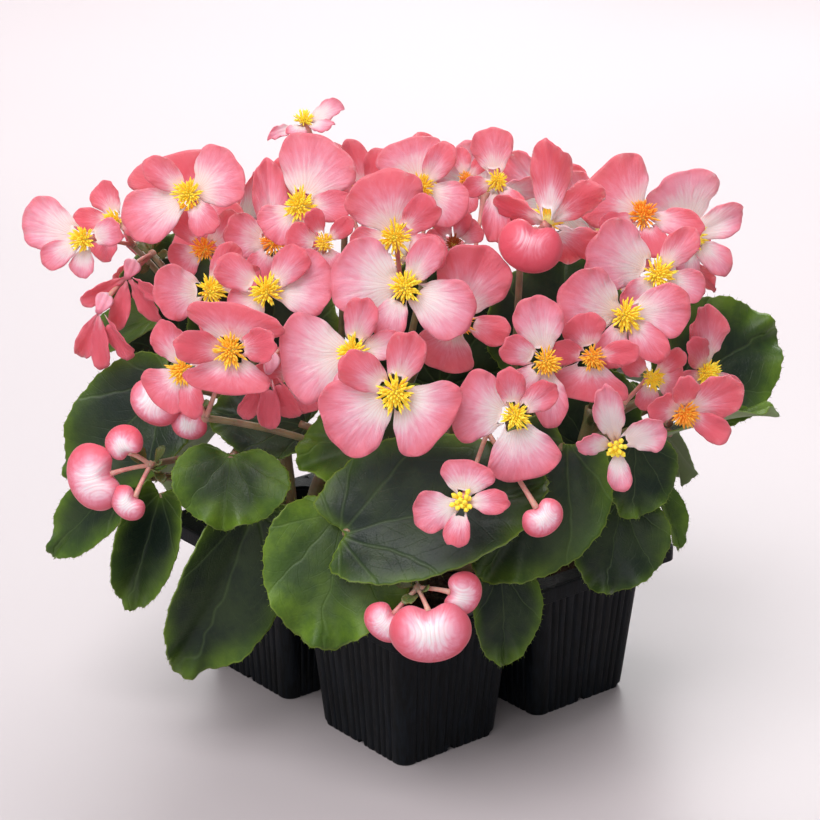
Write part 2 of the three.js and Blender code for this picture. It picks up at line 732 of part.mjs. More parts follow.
// One spray: its fork, the stalks on it, and its blooms, buds and female flowers.
function spraySolid(spray, fork) {
  const { blooms = [], buds = [], females = [] } = spray;
  const pieces = [hubSolid(fork)];
  const stalkTo = (end) => pieces.push(stalk(new THREE.LineCurve3(fork, end), PEDICEL_RADIUS, 3, 1));
  const behind = (row, depth) => spot(row).addScaledVector(facing(row[3], row[4]), -depth);
  blooms.forEach((row) => {
    stalkTo(behind(row, CONE_DEPTH / 3));
    pieces.push(bloomSolid(row, petalsOf(row), 1));
  });
  females.forEach((row) => {
    stalkTo(behind(row, FEMALE_STALK_END));
    pieces.push(...femaleSolids(row));
  });
  buds.forEach((row) => {
    stalkTo(budRoot(row));
    pieces.push(budSolid(row));
  });
  return joined(pieces);
}

const RIM_POINTS = 10;
const MIDRIB = [0.12, 0.42, 0.75]; // points along a leaf's middle
const LEAF_MIDDLE = 0.38; // the middle of a leaf's outline, as a share of its length
const TO_TIP = 0.62;
const TO_BASE = 0.52;
const POINT = 0.05;
const NOTCH = 0.17;
const POINT_SPREAD = 0.3; // how far round the outline the point and the notch reach, in radians
const LOPSIDED = 0.08;
const SCALLOPS = [-0.01, 0.03];
const LEAF_RIPPLE = 0.03;
const LEAF_DROOP = 0.1;

// A leaf's edge at an angle round its middle, from its tip: a broad blade with a short point, a notch at its
// base, one side wider than the other and scalloped margins.
function leafEdge(turn, length, width, scallop) {
  const fromTip = Math.min(turn, 2 * Math.PI - turn);
  const reach = Math.cos(turn) > 0 ? TO_TIP : TO_BASE;
  const point = POINT * Math.exp(-((fromTip / POINT_SPREAD) ** 2));
  const notch = NOTCH * Math.exp(-(((turn - Math.PI) / POINT_SPREAD) ** 2));
  const lean = 1 + LOPSIDED * Math.sin(turn);
  const wave = 1 + scallop;
  return [
    length * (LEAF_MIDDLE + (reach * Math.cos(turn) + point) * wave + notch),
    (width / 2) * Math.sin(turn) * lean * wave,
  ];
}

// A leaf's flat points, its rim, and the functions that raise and place them.
function leafShape([, baseSpot, tipSpot, width, right, tilt, fold]) {
  const base = spot(baseSpot);
  const way = spot(tipSpot).sub(base);
  const length = way.length();
  way.normalize();
  const face = facing(right, tilt);
  face.addScaledVector(way, -face.dot(way)).normalize();
  const beside = face.clone().cross(way);
  const rim = Array.from({ length: RIM_POINTS }, (_, i) => i);
  const flat = rim.map((i) => leafEdge((2 * Math.PI * i) / RIM_POINTS, length, width, SCALLOPS[i % 2]));
  MIDRIB.forEach((v) => flat.push([v * length, 0]));
  const height = (x, y) => {
    const v = x / length;
    const s = (2 * y) / width;
    const out = v - LEAF_MIDDLE;
    const ripple = LEAF_RIPPLE * length * Math.sin(3 * Math.atan2(s, out)) * (s * s + out * out);
    return fold * width * (Math.sqrt(s * s + 0.02) - 0.14) - LEAF_DROOP * length * v * v + ripple;
  };
  const place = (x, y, z) =>
    base
      .clone()
      .addScaledVector(way, x)
      .addScaledVector(beside, y)
      .addScaledVector(face, z);
  return { flat, rim, height, place };
}

function leafSolid(row) {
  const { flat, rim, height, place } = leafShape(row);
  return bladeSolid(flat, rim, facesRound(flat, rim, RIM_POINTS), height, place);
}

const STEM_TURNS = [40, 160, 280].map(degrees);
const LOWEST_STALK = 8; // above the soil

// The stems of a plant: from its crown in the soil, up and leaning outwards.
function stemCurves(plant) {
  const [x, y] = CELLS[plant];
  return STEM_TURNS.map((turn) => {
    const lean = new THREE.Vector3(Math.cos(turn), Math.sin(turn), 0);
    const foot = new THREE.Vector3(x, y, SOIL_TOP - 1).addScaledVector(lean, 1);
    const middle = new THREE.Vector3(x, y, (SOIL_TOP + STEM_TOP) / 2).addScaledVector(lean, STEM_MIDDLE_LEAN);
    const top = new THREE.Vector3(x, y, STEM_TOP).addScaledVector(lean, STEM_LEAN);
    return new THREE.QuadraticBezierCurve3(foot, middle, top);
  });
}

// The place on the nearest stem from which a stalk to this point springs.
function springPoint(curves, end, drop) {
  const height = THREE.MathUtils.clamp(end.z - drop, SOIL_TOP + LOWEST_STALK, STEM_TOP - 1);
  const share = (height - SOIL_TOP) / (STEM_TOP - SOIL_TOP);
  return curves
    .map((curve) => curve.getPoint(share))
    .reduce((a, b) => (b.distanceTo(end) < a.distanceTo(end) ? b : a));
}

// A plant without its flowers: crown, stems, leaves on their stalks, and the flower stalks up to their forks.
function plantSolid(plant, forks) {
  const [x, y] = CELLS[plant];
  const curves = stemCurves(plant);
  const crown = solidOf(
    new THREE.CylinderGeometry(CROWN_RADIUS, CROWN_RADIUS * 0.8, CROWN_SINK + CROWN_ABOVE, CROWN_SIDES)
      .rotateX(Math.PI / 2)
      .translate(x, y, SOIL_TOP + (CROWN_ABOVE - CROWN_SINK) / 2),
  );
  const pieces = [crown, ...curves.map((curve) => stalk(curve, STEM_RADIUS, 5, 3))];
  LEAVES.filter((row) => row[0] === plant).forEach((row) => {
    const base = spot(row[1]);
    const start = springPoint(curves, base, LEAF_DROP);
    const end = base.clone().addScaledVector(spot(row[2]).sub(base).normalize(), LEAF_STALK_RUN);
    pieces.push(stalk(arch(start, end, LEAF_STALK_RISE), PETIOLE_RADIUS, 3, 2));
    pieces.push(leafSolid(row));
  });
  forks.forEach((fork) => {
    const start = springPoint(curves, fork, FORK_DROP_TO_STEM);
    const curve = arch(start, fork, FLOWER_STALK_RISE);
    const end = curve.getPointAt(1 - (HUB_RADIUS + SEAT_GAP) / curve.getLength());
    pieces.push(stalk(arch(start, end, FLOWER_STALK_RISE), PEDUNCLE_RADIUS, 3, 2));
  });
  return joined(pieces);
}

// The outline of a cell: a rectangle with round corners and upright flutes along its sides.
function cellOutline(width, depth, flutes) {
  const halves = [width / 2, depth / 2];
  const points = [];
  for (let side = 0; side < 4; side++) {
    const turn = (side * Math.PI) / 2;
    const reach = halves[side % 2];
    const run = halves[(side + 1) % 2] - CELL_CORNER;
    const add = (out, along) =>
      points.push(
        new THREE.Vector2(
          out * Math.cos(turn) - along * Math.sin(turn),
          out * Math.sin(turn) + along * Math.cos(turn),
        ),
      );
    for (let i = 0; i < flutes; i++) {
      const at = -run + (2 * run * (i + 0.5)) / flutes;
      add(reach, at - FLUTE_WIDTH);
      add(reach - FLUTE_DEPTH, at + FLUTE_WIDTH);
    }
    if (!flutes) add(reach, -run);
    add(reach, run);
    const bend = CELL_CORNER * (1 - Math.SQRT1_2);
    add(reach - bend, run + CELL_CORNER - bend);
  }
  return points;
}

// A prism over an outline, from one height to another, narrowing downwards as the cells do.
function taperedSolid(outline, low, high) {
  const geometry = new THREE.ExtrudeGeometry(new THREE.Shape(outline), {
    depth: high - low,
    bevelEnabled: false,
  });
  geometry.translate(0, 0, low);
  const at = geometry.attributes.position;
  for (let i = 0; i < at.count; i++) {
    const scale = CELL_TAPER + ((1 - CELL_TAPER) * at.getZ(i)) / CELL_HEIGHT;
    at.setXY(i, at.getX(i) * scale, at.getY(i) * scale);
  }
  return solidOf(geometry);
}

const boxSolid = (size, centre) => solidOf(new THREE.BoxGeometry(...size).translate(...centre));

// The rim plate with its turned-down lip, as a rounded rectangle.
function rimOutline(inset) {
  const corner = RIM_CORNER - inset / 2;
  const half = [PITCH_X + RIM_BEYOND - inset, PITCH_Y + RIM_BEYOND - inset];
  const shape = new THREE.Shape();
  shape.moveTo(half[0], -half[1] + corner);
  shape.lineTo(half[0], half[1] - corner);
  shape.absarc(half[0] - corner, half[1] - corner, corner, 0, Math.PI / 2);
  shape.lineTo(-half[0] + corner, half[1]);
  shape.absarc(-half[0] + corner, half[1] - corner, corner, Math.PI / 2, Math.PI);
  shape.lineTo(-half[0], -half[1] + corner);
  shape.absarc(-half[0] + corner, -half[1] + corner, corner, Math.PI, 1.5 * Math.PI);
  shape.lineTo(half[0] - corner, -half[1]);
  shape.absarc(half[0] - corner, -half[1] + corner, corner, 1.5 * Math.PI, 2 * Math.PI);
  return shape;
}

function rimSolid(inset, low, high) {
  const geometry = new THREE.ExtrudeGeometry(rimOutline(inset), {
    depth: high - low,
    bevelEnabled: false,
    curveSegments: 3,
  });
  return solidOf(geometry.translate(0, 0, low));
}

// The notches under a cell's foot: one across each way, and a low step at two corners.
function footCuts() {
  const foot = CELL_TOP_X * CELL_TAPER;
  const half = [foot / 2, (CELL_TOP_Y * CELL_TAPER) / 2];
  const across = foot + 2 * CELL_CORNER;
  const height = 2 * NOTCH_HEIGHT;
  return [
    boxSolid([NOTCH_WIDTH, across, height], [0, 0, 0]),
    boxSolid([across, NOTCH_WIDTH, height], [0, 0, 0]),
    boxSolid([STEP_WIDTH, STEP_WIDTH, height], [half[0], half[1], 0]),
    boxSolid([STEP_WIDTH, STEP_WIDTH, height], [-half[0], -half[1], 0]),
  ];
}

function packSolid() {
  const outer = taperedSolid(cellOutline(CELL_TOP_X, CELL_TOP_Y, FLUTES_A_SIDE), 0, CELL_HEIGHT);
  const inner = taperedSolid(
    cellOutline(CELL_TOP_X - 2 * (WALL + FLUTE_DEPTH), CELL_TOP_Y - 2 * (WALL + FLUTE_DEPTH), 0),
    FLOOR + NOTCH_HEIGHT,
    CELL_HEIGHT + RIM_THICKNESS + 1,
  );
  const cell = outer.subtract(joined(footCuts()));
  const plate = rimSolid(0, CELL_HEIGHT - LIP_HEIGHT, CELL_HEIGHT + RIM_THICKNESS).subtract(
    rimSolid(WALL, 0, CELL_HEIGHT),
  );
  const places = Object.values(CELLS);
  return joined([plate, ...places.map(([x, y]) => cell.translate([x, y, 0]))]).subtract(
    joined(places.map(([x, y]) => inner.translate([x, y, 0]))),
  );
}

// A generator of even numbers from 0 to 1 that always gives the same run.
function seeded(seed) {
  let state = seed;
  return () => {
    state = (state * 16807) % 2147483647;
    return state / 2147483647;
  };
}

// The peat in one cell, with crumbs on top and a plain hole for the crown.
function soilSolid([x, y], seed) {
  const inset = 2 * (WALL + FLUTE_DEPTH + SEAT_GAP);
  const plug = taperedSolid(
    cellOutline(CELL_TOP_X - inset, CELL_TOP_Y - inset, 0),
    FLOOR + NOTCH_HEIGHT + SEAT_GAP,
    SOIL_TOP,
  );
  const random = seeded(seed);
  const crumbs = Array.from({ length: CRUMBS }, (_, i) => {
    const turn = i * CRUMB_TURN;
    const reach = CRUMB_RING * (1 + random());
    const size = CRUMB_SIZE * (1 + random());
    return solidOf(
      new THREE.OctahedronGeometry(size)
        .rotateX(random() * 3)
        .rotateY(random() * 3)
        .translate(reach * Math.cos(turn), reach * Math.sin(turn), SOIL_TOP - size * 0.45),
    );
  });
  const hole = solidOf(
    new THREE.CylinderGeometry(CROWN_RADIUS + SEAT_GAP, CROWN_RADIUS + SEAT_GAP, 2 * CROWN_SINK, CROWN_SIDES)
      .rotateX(Math.PI / 2)
      .translate(0, 0, SOIL_TOP - SEAT_GAP),
  );
  return joined([plug, ...crumbs]).subtract(hole).translate([x, y, 0]);
}

const root = new THREE.Group();
root.add(meshOf("cell_pack", packSolid(), PLASTIC));
Object.entries(CELLS).forEach(([plant, place], i) => {
  root.add(meshOf(`soil_plug_${plant}`, soilSolid(place, 11 + i), PEAT));
});
const forks = SPRAYS.map(forkOf);
Object.keys(CELLS).forEach((plant) => {
  const own = forks.filter((_, i) => SPRAYS[i].plant === plant);
  root.add(meshOf(`plant_${plant}`, plantSolid(plant, own), LEAF));
});
SPRAYS.forEach((spray, i) => {
  const name = `spray_${String(i + 1).padStart(2, "0")}`;
  root.add(meshOf(name, spraySolid(spray, forks[i]), PETAL));
});

const box = new THREE.Box3().setFromObject(root);
const middle = box.getCenter(new THREE.Vector3());
root.position.set(-middle.x, -middle.y, -box.min.z);

export default root;
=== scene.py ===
# %% [markdown]
# # Wax begonias in a bedding pack
#
# Four wax begonias in full bloom stand in a thin black pack of four cells. Their petals, leaves and stamens
# are thin curved things that repeat hundreds of times, so each kind is one formula over a grid of numbers.
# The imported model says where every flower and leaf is, and this script gives each its fine surface and its
# finish.
#
# All lengths are millimetres until a mesh is made.

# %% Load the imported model
import math

import bpy
import numpy as np
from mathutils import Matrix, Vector


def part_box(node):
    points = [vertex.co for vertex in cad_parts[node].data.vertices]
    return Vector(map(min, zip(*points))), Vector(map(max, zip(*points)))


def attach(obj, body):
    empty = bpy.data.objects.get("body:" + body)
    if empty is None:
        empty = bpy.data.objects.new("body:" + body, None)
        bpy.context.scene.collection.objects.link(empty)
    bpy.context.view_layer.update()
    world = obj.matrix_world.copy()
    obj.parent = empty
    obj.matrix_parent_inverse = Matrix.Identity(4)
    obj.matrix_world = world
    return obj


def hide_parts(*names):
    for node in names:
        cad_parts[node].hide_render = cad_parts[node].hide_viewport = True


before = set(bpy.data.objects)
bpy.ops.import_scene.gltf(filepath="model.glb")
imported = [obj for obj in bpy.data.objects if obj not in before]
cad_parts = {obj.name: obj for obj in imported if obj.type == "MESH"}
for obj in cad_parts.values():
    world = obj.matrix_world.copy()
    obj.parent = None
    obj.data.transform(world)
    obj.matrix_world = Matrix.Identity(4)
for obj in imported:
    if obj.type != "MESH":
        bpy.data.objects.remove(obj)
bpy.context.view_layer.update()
MM = 0.001
random = np.random.default_rng(7)


def box_of(node):
    """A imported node's lowest and highest corners."""
    return [np.array(corner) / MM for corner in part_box(node)]


def middle_of(node):
    """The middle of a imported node's box, at the height of the ground."""
    low, high = box_of(node)
    return (low + high) / 2 * [1, 1, 0]


def add_object(name, data):
    """An object for a mesh, a light or a camera, put into the scene."""
    thing = bpy.data.objects.new(name, data)
    bpy.context.scene.collection.objects.link(thing)
    return thing


PACK_CENTRE = middle_of("cell_pack")

# %% [markdown]
# ## Directions
#
# The pack is shown corner first. So the flowers are set out on two level axes that are turned from the
# pack's sides: across, to the viewer's right, and out, towards the viewer.

# %% Axes of the layout
LAYOUT_TURN = math.radians(51)
ACROSS = np.array([math.cos(LAYOUT_TURN), math.sin(LAYOUT_TURN), 0])
OUT = np.array([math.sin(LAYOUT_TURN), -math.cos(LAYOUT_TURN), 0])
UP = np.array([0.0, 0.0, 1.0])


def spot(place):
    """The point at these distances across, out and up from the middle of the pack's foot."""
    across, out, up = place
    return PACK_CENTRE + across * ACROSS + out * OUT + up * UP


def facing(right, up):
    """The direction that looks this many degrees to the right of out, and this many up."""
    right, up = math.radians(right), math.radians(up)
    level = math.sin(right) * ACROSS + math.cos(right) * OUT
    return math.cos(up) * level + math.sin(up) * UP


def bloom_axes(right, up):
    """A flower's own axes: its right, its top and the way it faces."""
    turn = math.radians(right)
    side = math.cos(turn) * ACROSS - math.sin(turn) * OUT
    face = facing(right, up)
    return side, np.cross(face, side), face


def stance(row):
    """The middle and the own axes of the flower or bud in a row."""
    return spot(row[:3]), bloom_axes(*row[3:5])


def way_at(axes, angle):
    """The direction at this many degrees from a flower's right, turning towards its top."""
    turn = math.radians(angle)
    return math.cos(turn) * axes[0] + math.sin(turn) * axes[1]


# %% [markdown]
# ## Surfaces from grids
#
# A mesh could be pulled into shape by hand, but the petals and leaves follow rules, so numpy works out all
# the points of a piece at once. Each point is a row of nine numbers: its place, then three that say where
# it lies on its own petal or leaf, then three that its material reads. A sheet becomes a closed shell by
# moving it to both sides along its normals, and a tube is a row of rings with its ends closed.

# %% Grids to closed faces
BACK_FLAG = 7  # the number of a point that is 1 on the back of a sheet


def closed_sheet(front, back):
    """Two matching grids of points, joined round their rim into one closed shell."""
    rows, columns, width = front.shape
    number = np.arange(rows * columns).reshape(rows, columns)
    quads = np.stack([number[:-1, :-1], number[1:, :-1], number[1:, 1:], number[:-1, 1:]], -1).reshape(-1, 4)
    rim = np.concatenate([number[:-1, 0], number[-1, :-1], number[:0:-1, -1], number[0, :0:-1]])
    after = np.roll(rim, -1)
    behind = rows * columns
    edge = np.stack([rim + behind, after + behind, after, rim], 1)
    points = np.concatenate([front.reshape(-1, width), back.reshape(-1, width)])
    return points, [np.concatenate([quads, quads[:, ::-1] + behind, edge])]


def sheet_normals(grid):
    """A unit normal at each point of a grid: the mean of those of the faces round it."""
    place = grid[..., :3]
    normal = np.cross(place[1:, 1:] - place[:-1, :-1], place[:-1, 1:] - place[1:, :-1])
    total = np.zeros_like(place)
    for rows in (slice(None, -1), slice(1, None)):
        for columns in (slice(None, -1), slice(1, None)):
            total[rows, columns] += normal
    return total / np.linalg.norm(total, axis=-1, keepdims=True)


def shell(grid, thickness):
    """A sheet with half its thickness added on each side."""
    shift = np.zeros_like(grid)
    shift[..., :3] = sheet_normals(grid) * np.asarray(thickness)[..., None] / 2
    back = grid - shift
    back[..., BACK_FLAG] = 1
    return closed_sheet(grid + shift, back)


def rings(grid, wrap=False):
    """Closed tubes through rings of points, of shape (tubes, rings, points round, 9). The first and the last
    ring are closed by a fan, or joined to each other where wrap is true."""
    tubes, rows, sides, width = grid.shape
    number = np.arange(tubes * rows * sides).reshape(tubes, rows, sides)
    beside = np.roll(number, -1, 2)
    if wrap:
        quads = np.stack([number, beside, np.roll(beside, -1, 1), np.roll(number, -1, 1)], -1)
        return grid.reshape(-1, width), [quads.reshape(-1, 4)]
    quads = np.stack([number[:, :-1], beside[:, :-1], beside[:, 1:], number[:, 1:]], -1)
    middles = np.concatenate([grid[:, 0].mean(1), grid[:, -1].mean(1)])
    first = np.broadcast_to(tubes * rows * sides + np.arange(tubes)[:, None], (tubes, sides))
    start = np.stack([first, beside[:, 0], number[:, 0]], -1)
    end = np.stack([first + tubes, number[:, -1], beside[:, -1]], -1)
    points = np.concatenate([grid.reshape(-1, width), middles])
    return points, [quads.reshape(-1, 4), start.reshape(-1, 3), end.reshape(-1, 3)]


def with_numbers(place, own=(0, 0, 0), look=(0, 0, 0)):
    """Places with the three numbers of their own surface and the three of their look beside them."""
    shape = place.shape[:-1] + (3,)
    own, look = (np.broadcast_to(np.stack(np.broadcast_arrays(*three), -1), shape) for three in (own, look))
    return np.concatenate([place, own, look], -1)


def tubes(paths, radii, sides, own=(0, 0, 0), look=(0, 0, 0)):
    """Round tubes along paths of shape (tubes, steps, 3): each ring is a circle square to its path."""
    along = np.gradient(paths, axis=1)
    along /= np.linalg.norm(along, axis=-1, keepdims=True)
    chord = np.abs(paths[:, -1] - paths[:, 0])
    aside = np.eye(3)[np.argmin(chord, 1)][:, None]
    first = np.cross(np.broadcast_to(aside, along.shape), along)
    first /= np.linalg.norm(first, axis=-1, keepdims=True)
    second = np.cross(along, first)
    turn = np.linspace(0, 2 * np.pi, sides, endpoint=False)[:, None]
    circle = np.cos(turn) * first[:, :, None] + np.sin(turn) * second[:, :, None]
    place = paths[:, :, None] + circle * radii[:, :, None, None]
    steps = [np.asarray(value, float) for value in (*own, *look)]
    spread = [value[..., None] if value.ndim else value for value in steps]
    return rings(with_numbers(place, spread[:3], spread[3:]))


# %% [markdown]
# ## Gathering a piece
#
# A spray has nearly two hundred small closed shells. They are kept as arrays, and go into one mesh at the
# end, with their numbers as two attributes that the materials read. A shell that came out inside out is
# turned round, which its volume tells.

# %% One mesh from many shells
def volume(points, faces):
    """The volume that closed faces enclose: the sum over their triangles of a third of base times height."""
    total = 0.0
    for group in faces:
        for k in range(1, group.shape[1] - 1):
            a, b, c = (points[group[:, i], :3] for i in (0, k, k + 1))
            total += np.einsum("ij,ij->", a, np.cross(b, c)) / 6
    return total


class Pile:
    """Shells that become one mesh."""

    def __init__(self):
        self.points = []
        self.faces = []
        self.count = 0

    def add(self, points, faces):
        if volume(points - points.mean(0) * ([1] * 3 + [0] * 6), faces) < 0:
            faces = [group[:, ::-1] for group in faces]
        self.points.append(points)
        self.faces += [group + self.count for group in faces]
        self.count += len(points)

    def add_tube(self, path, radii, sides, own, look):
        """One round tube."""
        self.add(*tubes(path[None], radii[None], sides, own, look))

    def make(self, name, material, slot, node=None, sharp=None):
        """The mesh object, riding on the part, in the place of a node. The record's material slot that it is
        given is not used.
        """
        points = np.concatenate(self.points)
        mesh = bpy.data.meshes.new(name)
        faces = [face for group in self.faces for face in group.tolist()]
        mesh.from_pydata((points[:, :3] * MM).tolist(), [], faces)
        for title, columns in (("own", slice(3, 6)), ("look", slice(6, 9))):
            numbers = mesh.attributes.new(title, "FLOAT_VECTOR", "POINT")
            numbers.data.foreach_set("vector", points[:, columns].astype(np.float32).ravel())
        mesh.shade_smooth()
        if sharp:
            mesh.set_sharp_from_angle(angle=math.radians(sharp))
        mesh.materials.append(material)
        piece = add_object(name, mesh)
        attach(piece, "root")
        if node:
            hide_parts(node)


# %% [markdown]
# ## Drawing materials with nodes
#
# Every colour here is worked out from the numbers that a point carries and from noise, so the finishes need
# no picture. What a node puts out is kept as a value that can be added or multiplied, and each sum or
# product becomes a Math node. So a material reads like a formula, and what more than one uses is a node
# group.

# %% Calls that add nodes
def srgb(red, green, blue):
    """A colour given as it looks on a screen, as the linear colour that a shader takes."""
    share = np.array([red, green, blue]) / 255
    return (*np.where(share <= 0.04045, share / 12.92, ((share + 0.055) / 1.055) ** 2.4), 1)


class Value:
    """What a node puts out. Sums, products and powers of it are Math nodes."""

    def __init__(self, graph, socket):
        self.graph = graph
        self.socket = socket

    def __add__(self, other):
        return self.graph.math("ADD", self, other)

    def __sub__(self, other):
        return self.graph.math("SUBTRACT", self, other)

    def __rsub__(self, other):
        return self.graph.math("SUBTRACT", other, self)

    def __mul__(self, other):
        return self.graph.math("MULTIPLY", self, other)

    def __truediv__(self, other):
        return self.graph.math("DIVIDE", self, other)

    def __rtruediv__(self, other):
        return self.graph.math("DIVIDE", other, self)

    def __pow__(self, other):
        return self.graph.math("POWER", self, other)

    def __abs__(self):
        return self.graph.math("ABSOLUTE", self)


class Graph:
    """Short names for adding nodes to one tree and joining them up."""

    def __init__(self, tree):
        self.tree = tree

    def feed(self, socket, value):
        """Links a value to a socket, or sets a plain number or colour on it."""
        if isinstance(value, Value):
            self.tree.links.new(value.socket, socket)
        else:
            socket.default_value = value

    def node(self, kind, inputs=(), output=0, **settings):
        """Adds a node and gives one of its outputs, or the list of them where output is None."""
        made = self.tree.nodes.new("ShaderNode" + kind)
        for name, value in settings.items():
            setattr(made, name, value)
        for key, value in dict(inputs).items():
            self.feed(made.inputs[key], value)
        if output is None:
            return [Value(self, socket) for socket in made.outputs]
        return Value(self, made.outputs[output])

    def math(self, operation, *values, clamp=False):
        return self.node("Math", enumerate(values), operation=operation, use_clamp=clamp)

    def mix(self, share, first, second):
        """Two colours mixed by this share of the second."""
        return self.node("Mix", {0: share, 6: first, 7: second}, 2, data_type="RGBA")

    def step(self, value, low, high, to_low=0.0, to_high=1.0):
        """A smooth step from one number to another as the value goes from low to high."""
        sockets = {0: value, 1: low, 2: high, 3: to_low, 4: to_high}
        return self.node("MapRange", sockets, interpolation_type="SMOOTHSTEP")

    def noise(self, vector, scale, detail=2.0, roughness=0.5):
        sockets = {"Vector": vector, "Scale": scale, "Detail": detail, "Roughness": roughness}
        return self.node("TexNoise", sockets)

    def bump(self, height, strength, distance):
        return self.node("Bump", {"Strength": strength, "Distance": distance, "Height": height})

    def numbers(self, title):
        """The three numbers of an attribute, and the attribute itself."""
        vector = self.node("Attribute", output="Vector", attribute_name=title)
        return (*self.node("SeparateXYZ", {0: vector}, None), vector)

    def join(self, x, y, z):
        return self.node("CombineXYZ", {0: x, 1: y, 2: z})

    def place(self):
        return self.node("TexCoord", output="Object")

    def drawn_out(self, share):
        """The place with its height made less by this share, which draws a pattern out upwards."""
        return self.node("Mapping", {0: self.place(), 3: (1, 1, share)})

    def use(self, group, **inputs):
        """A node that holds a group, with its inputs set by name, as the list of what it puts out."""
        named = {name.replace("_", " ").capitalize(): value for name, value in inputs.items()}
        return self.node("Group", named, None, node_tree=group)

    def give(self, *values):
        """Ends a group with what it puts out."""
        for value, socket in zip(values, self.tree.nodes.new("NodeGroupOutput").inputs):
            self.feed(socket, value)
        return self.tree


def new_group(name, inputs, outputs):
    """The graph of a new node group, and the values that it is given."""
    tree = bpy.data.node_groups.new(name, "ShaderNodeTree")
    for sockets, way in ((inputs, "INPUT"), (outputs, "OUTPUT")):
        for title, kind in sockets.items():
            tree.interface.new_socket(title, in_out=way, socket_type="NodeSocket" + kind)
    graph = Graph(tree)
    given = tree.nodes.new("NodeGroupInput").outputs
    return graph, [Value(graph, given[title]) for title in inputs]


def new_material(name, **settings):
    """A material with its Principled shader's plain sockets set, and the graph that the rest is drawn in."""
    material = bpy.data.materials.new(name)
    material.use_nodes = True
    shader = material.node_tree.nodes["Principled BSDF"]
    for title, value in settings.items():
        shader.inputs[title.replace("_", " ").title().replace("Ior", "IOR")].default_value = value
    return material, Graph(material.node_tree), shader


def paint(graph, shader, **sockets):
    """Joins what a material has worked out to its shader."""
    for title, value in sockets.items():
        graph.feed(shader.inputs[title.replace("_", " ").title()], value)


# %% [markdown]
# ## Three effects that the finishes share
#
# Petals and leaves have veins that leave the stalk as a fan. All living skin here has a fine crystalline
# grain, because the cells of a begonia's skin are large and bulge. Leaves, stalks and peat are nowhere
# even, so a slow mottling runs through them. Each is a node group, placed in each material with its own
# values.

# %% Fan of veins
def make_vein_fan():
    """Veins as a fan round the stalk's end: their distance is the angle to the nearest of a number of even
    rays, times the distance from the stalk, and noise bends them. Finer side veins cross them as chevrons."""
    g, (along, sideways, rays, width, seed) = new_group(
        "vein fan",
        {"Along": "Float", "Sideways": "Float", "Rays": "Float", "Width": "Float", "Seed": "Float"},
        {"Veins": "Float", "Side veins": "Float"},
    )
    reach = g.math("SQRT", along * along + sideways * sideways)
    bend = g.noise(g.join(along, sideways, seed), 3.0)
    angle = g.math("ARCTAN2", sideways, along) + (bend - 0.5) * 0.3
    nearest = abs(g.math("FRACT", angle * rays + 0.5) - 0.5)
    veins = g.step(nearest / rays * reach, 0.0, width, 1.0, 0.0)
    chevron = abs(g.math("FRACT", reach * 9.0 + nearest * -3.2) - 0.5)
    side_veins = g.step(chevron, 0.0, 0.09, 1.0, 0.0) * g.step(reach, 0.1, 0.3)
    return g.give(veins, side_veins)


VEIN_FAN = make_vein_fan()


# %% Crystalline skin
def make_crystal_skin():
    """The skin's fine grain as a height: small cells over slower puckers."""
    g, (cell_size, puckers) = new_group(
        "crystal skin", {"Cell size": "Float", "Puckers": "Float"}, {"Height": "Float"}
    )
    place = g.place()
    cells = g.node("TexVoronoi", {"Vector": place, "Scale": 1.0 / cell_size}, "Distance")
    return g.give(cells * -0.2 + g.noise(place, 260.0, 3.0) * puckers)


CRYSTAL_SKIN = make_crystal_skin()


# %% Mottling
def make_mottling():
    """Two colours mixed by slow noise, with a little quicker noise in it."""
    g, (first, second, patches) = new_group(
        "mottling", {"First": "Color", "Second": "Color", "Patches": "Float"}, {"Color": "Color"}
    )
    slow = g.noise(g.place(), patches, 4.0, 0.6)
    return g.give(g.mix(g.step(slow, 0.35, 0.65), first, second))


MOTTLING = make_mottling()
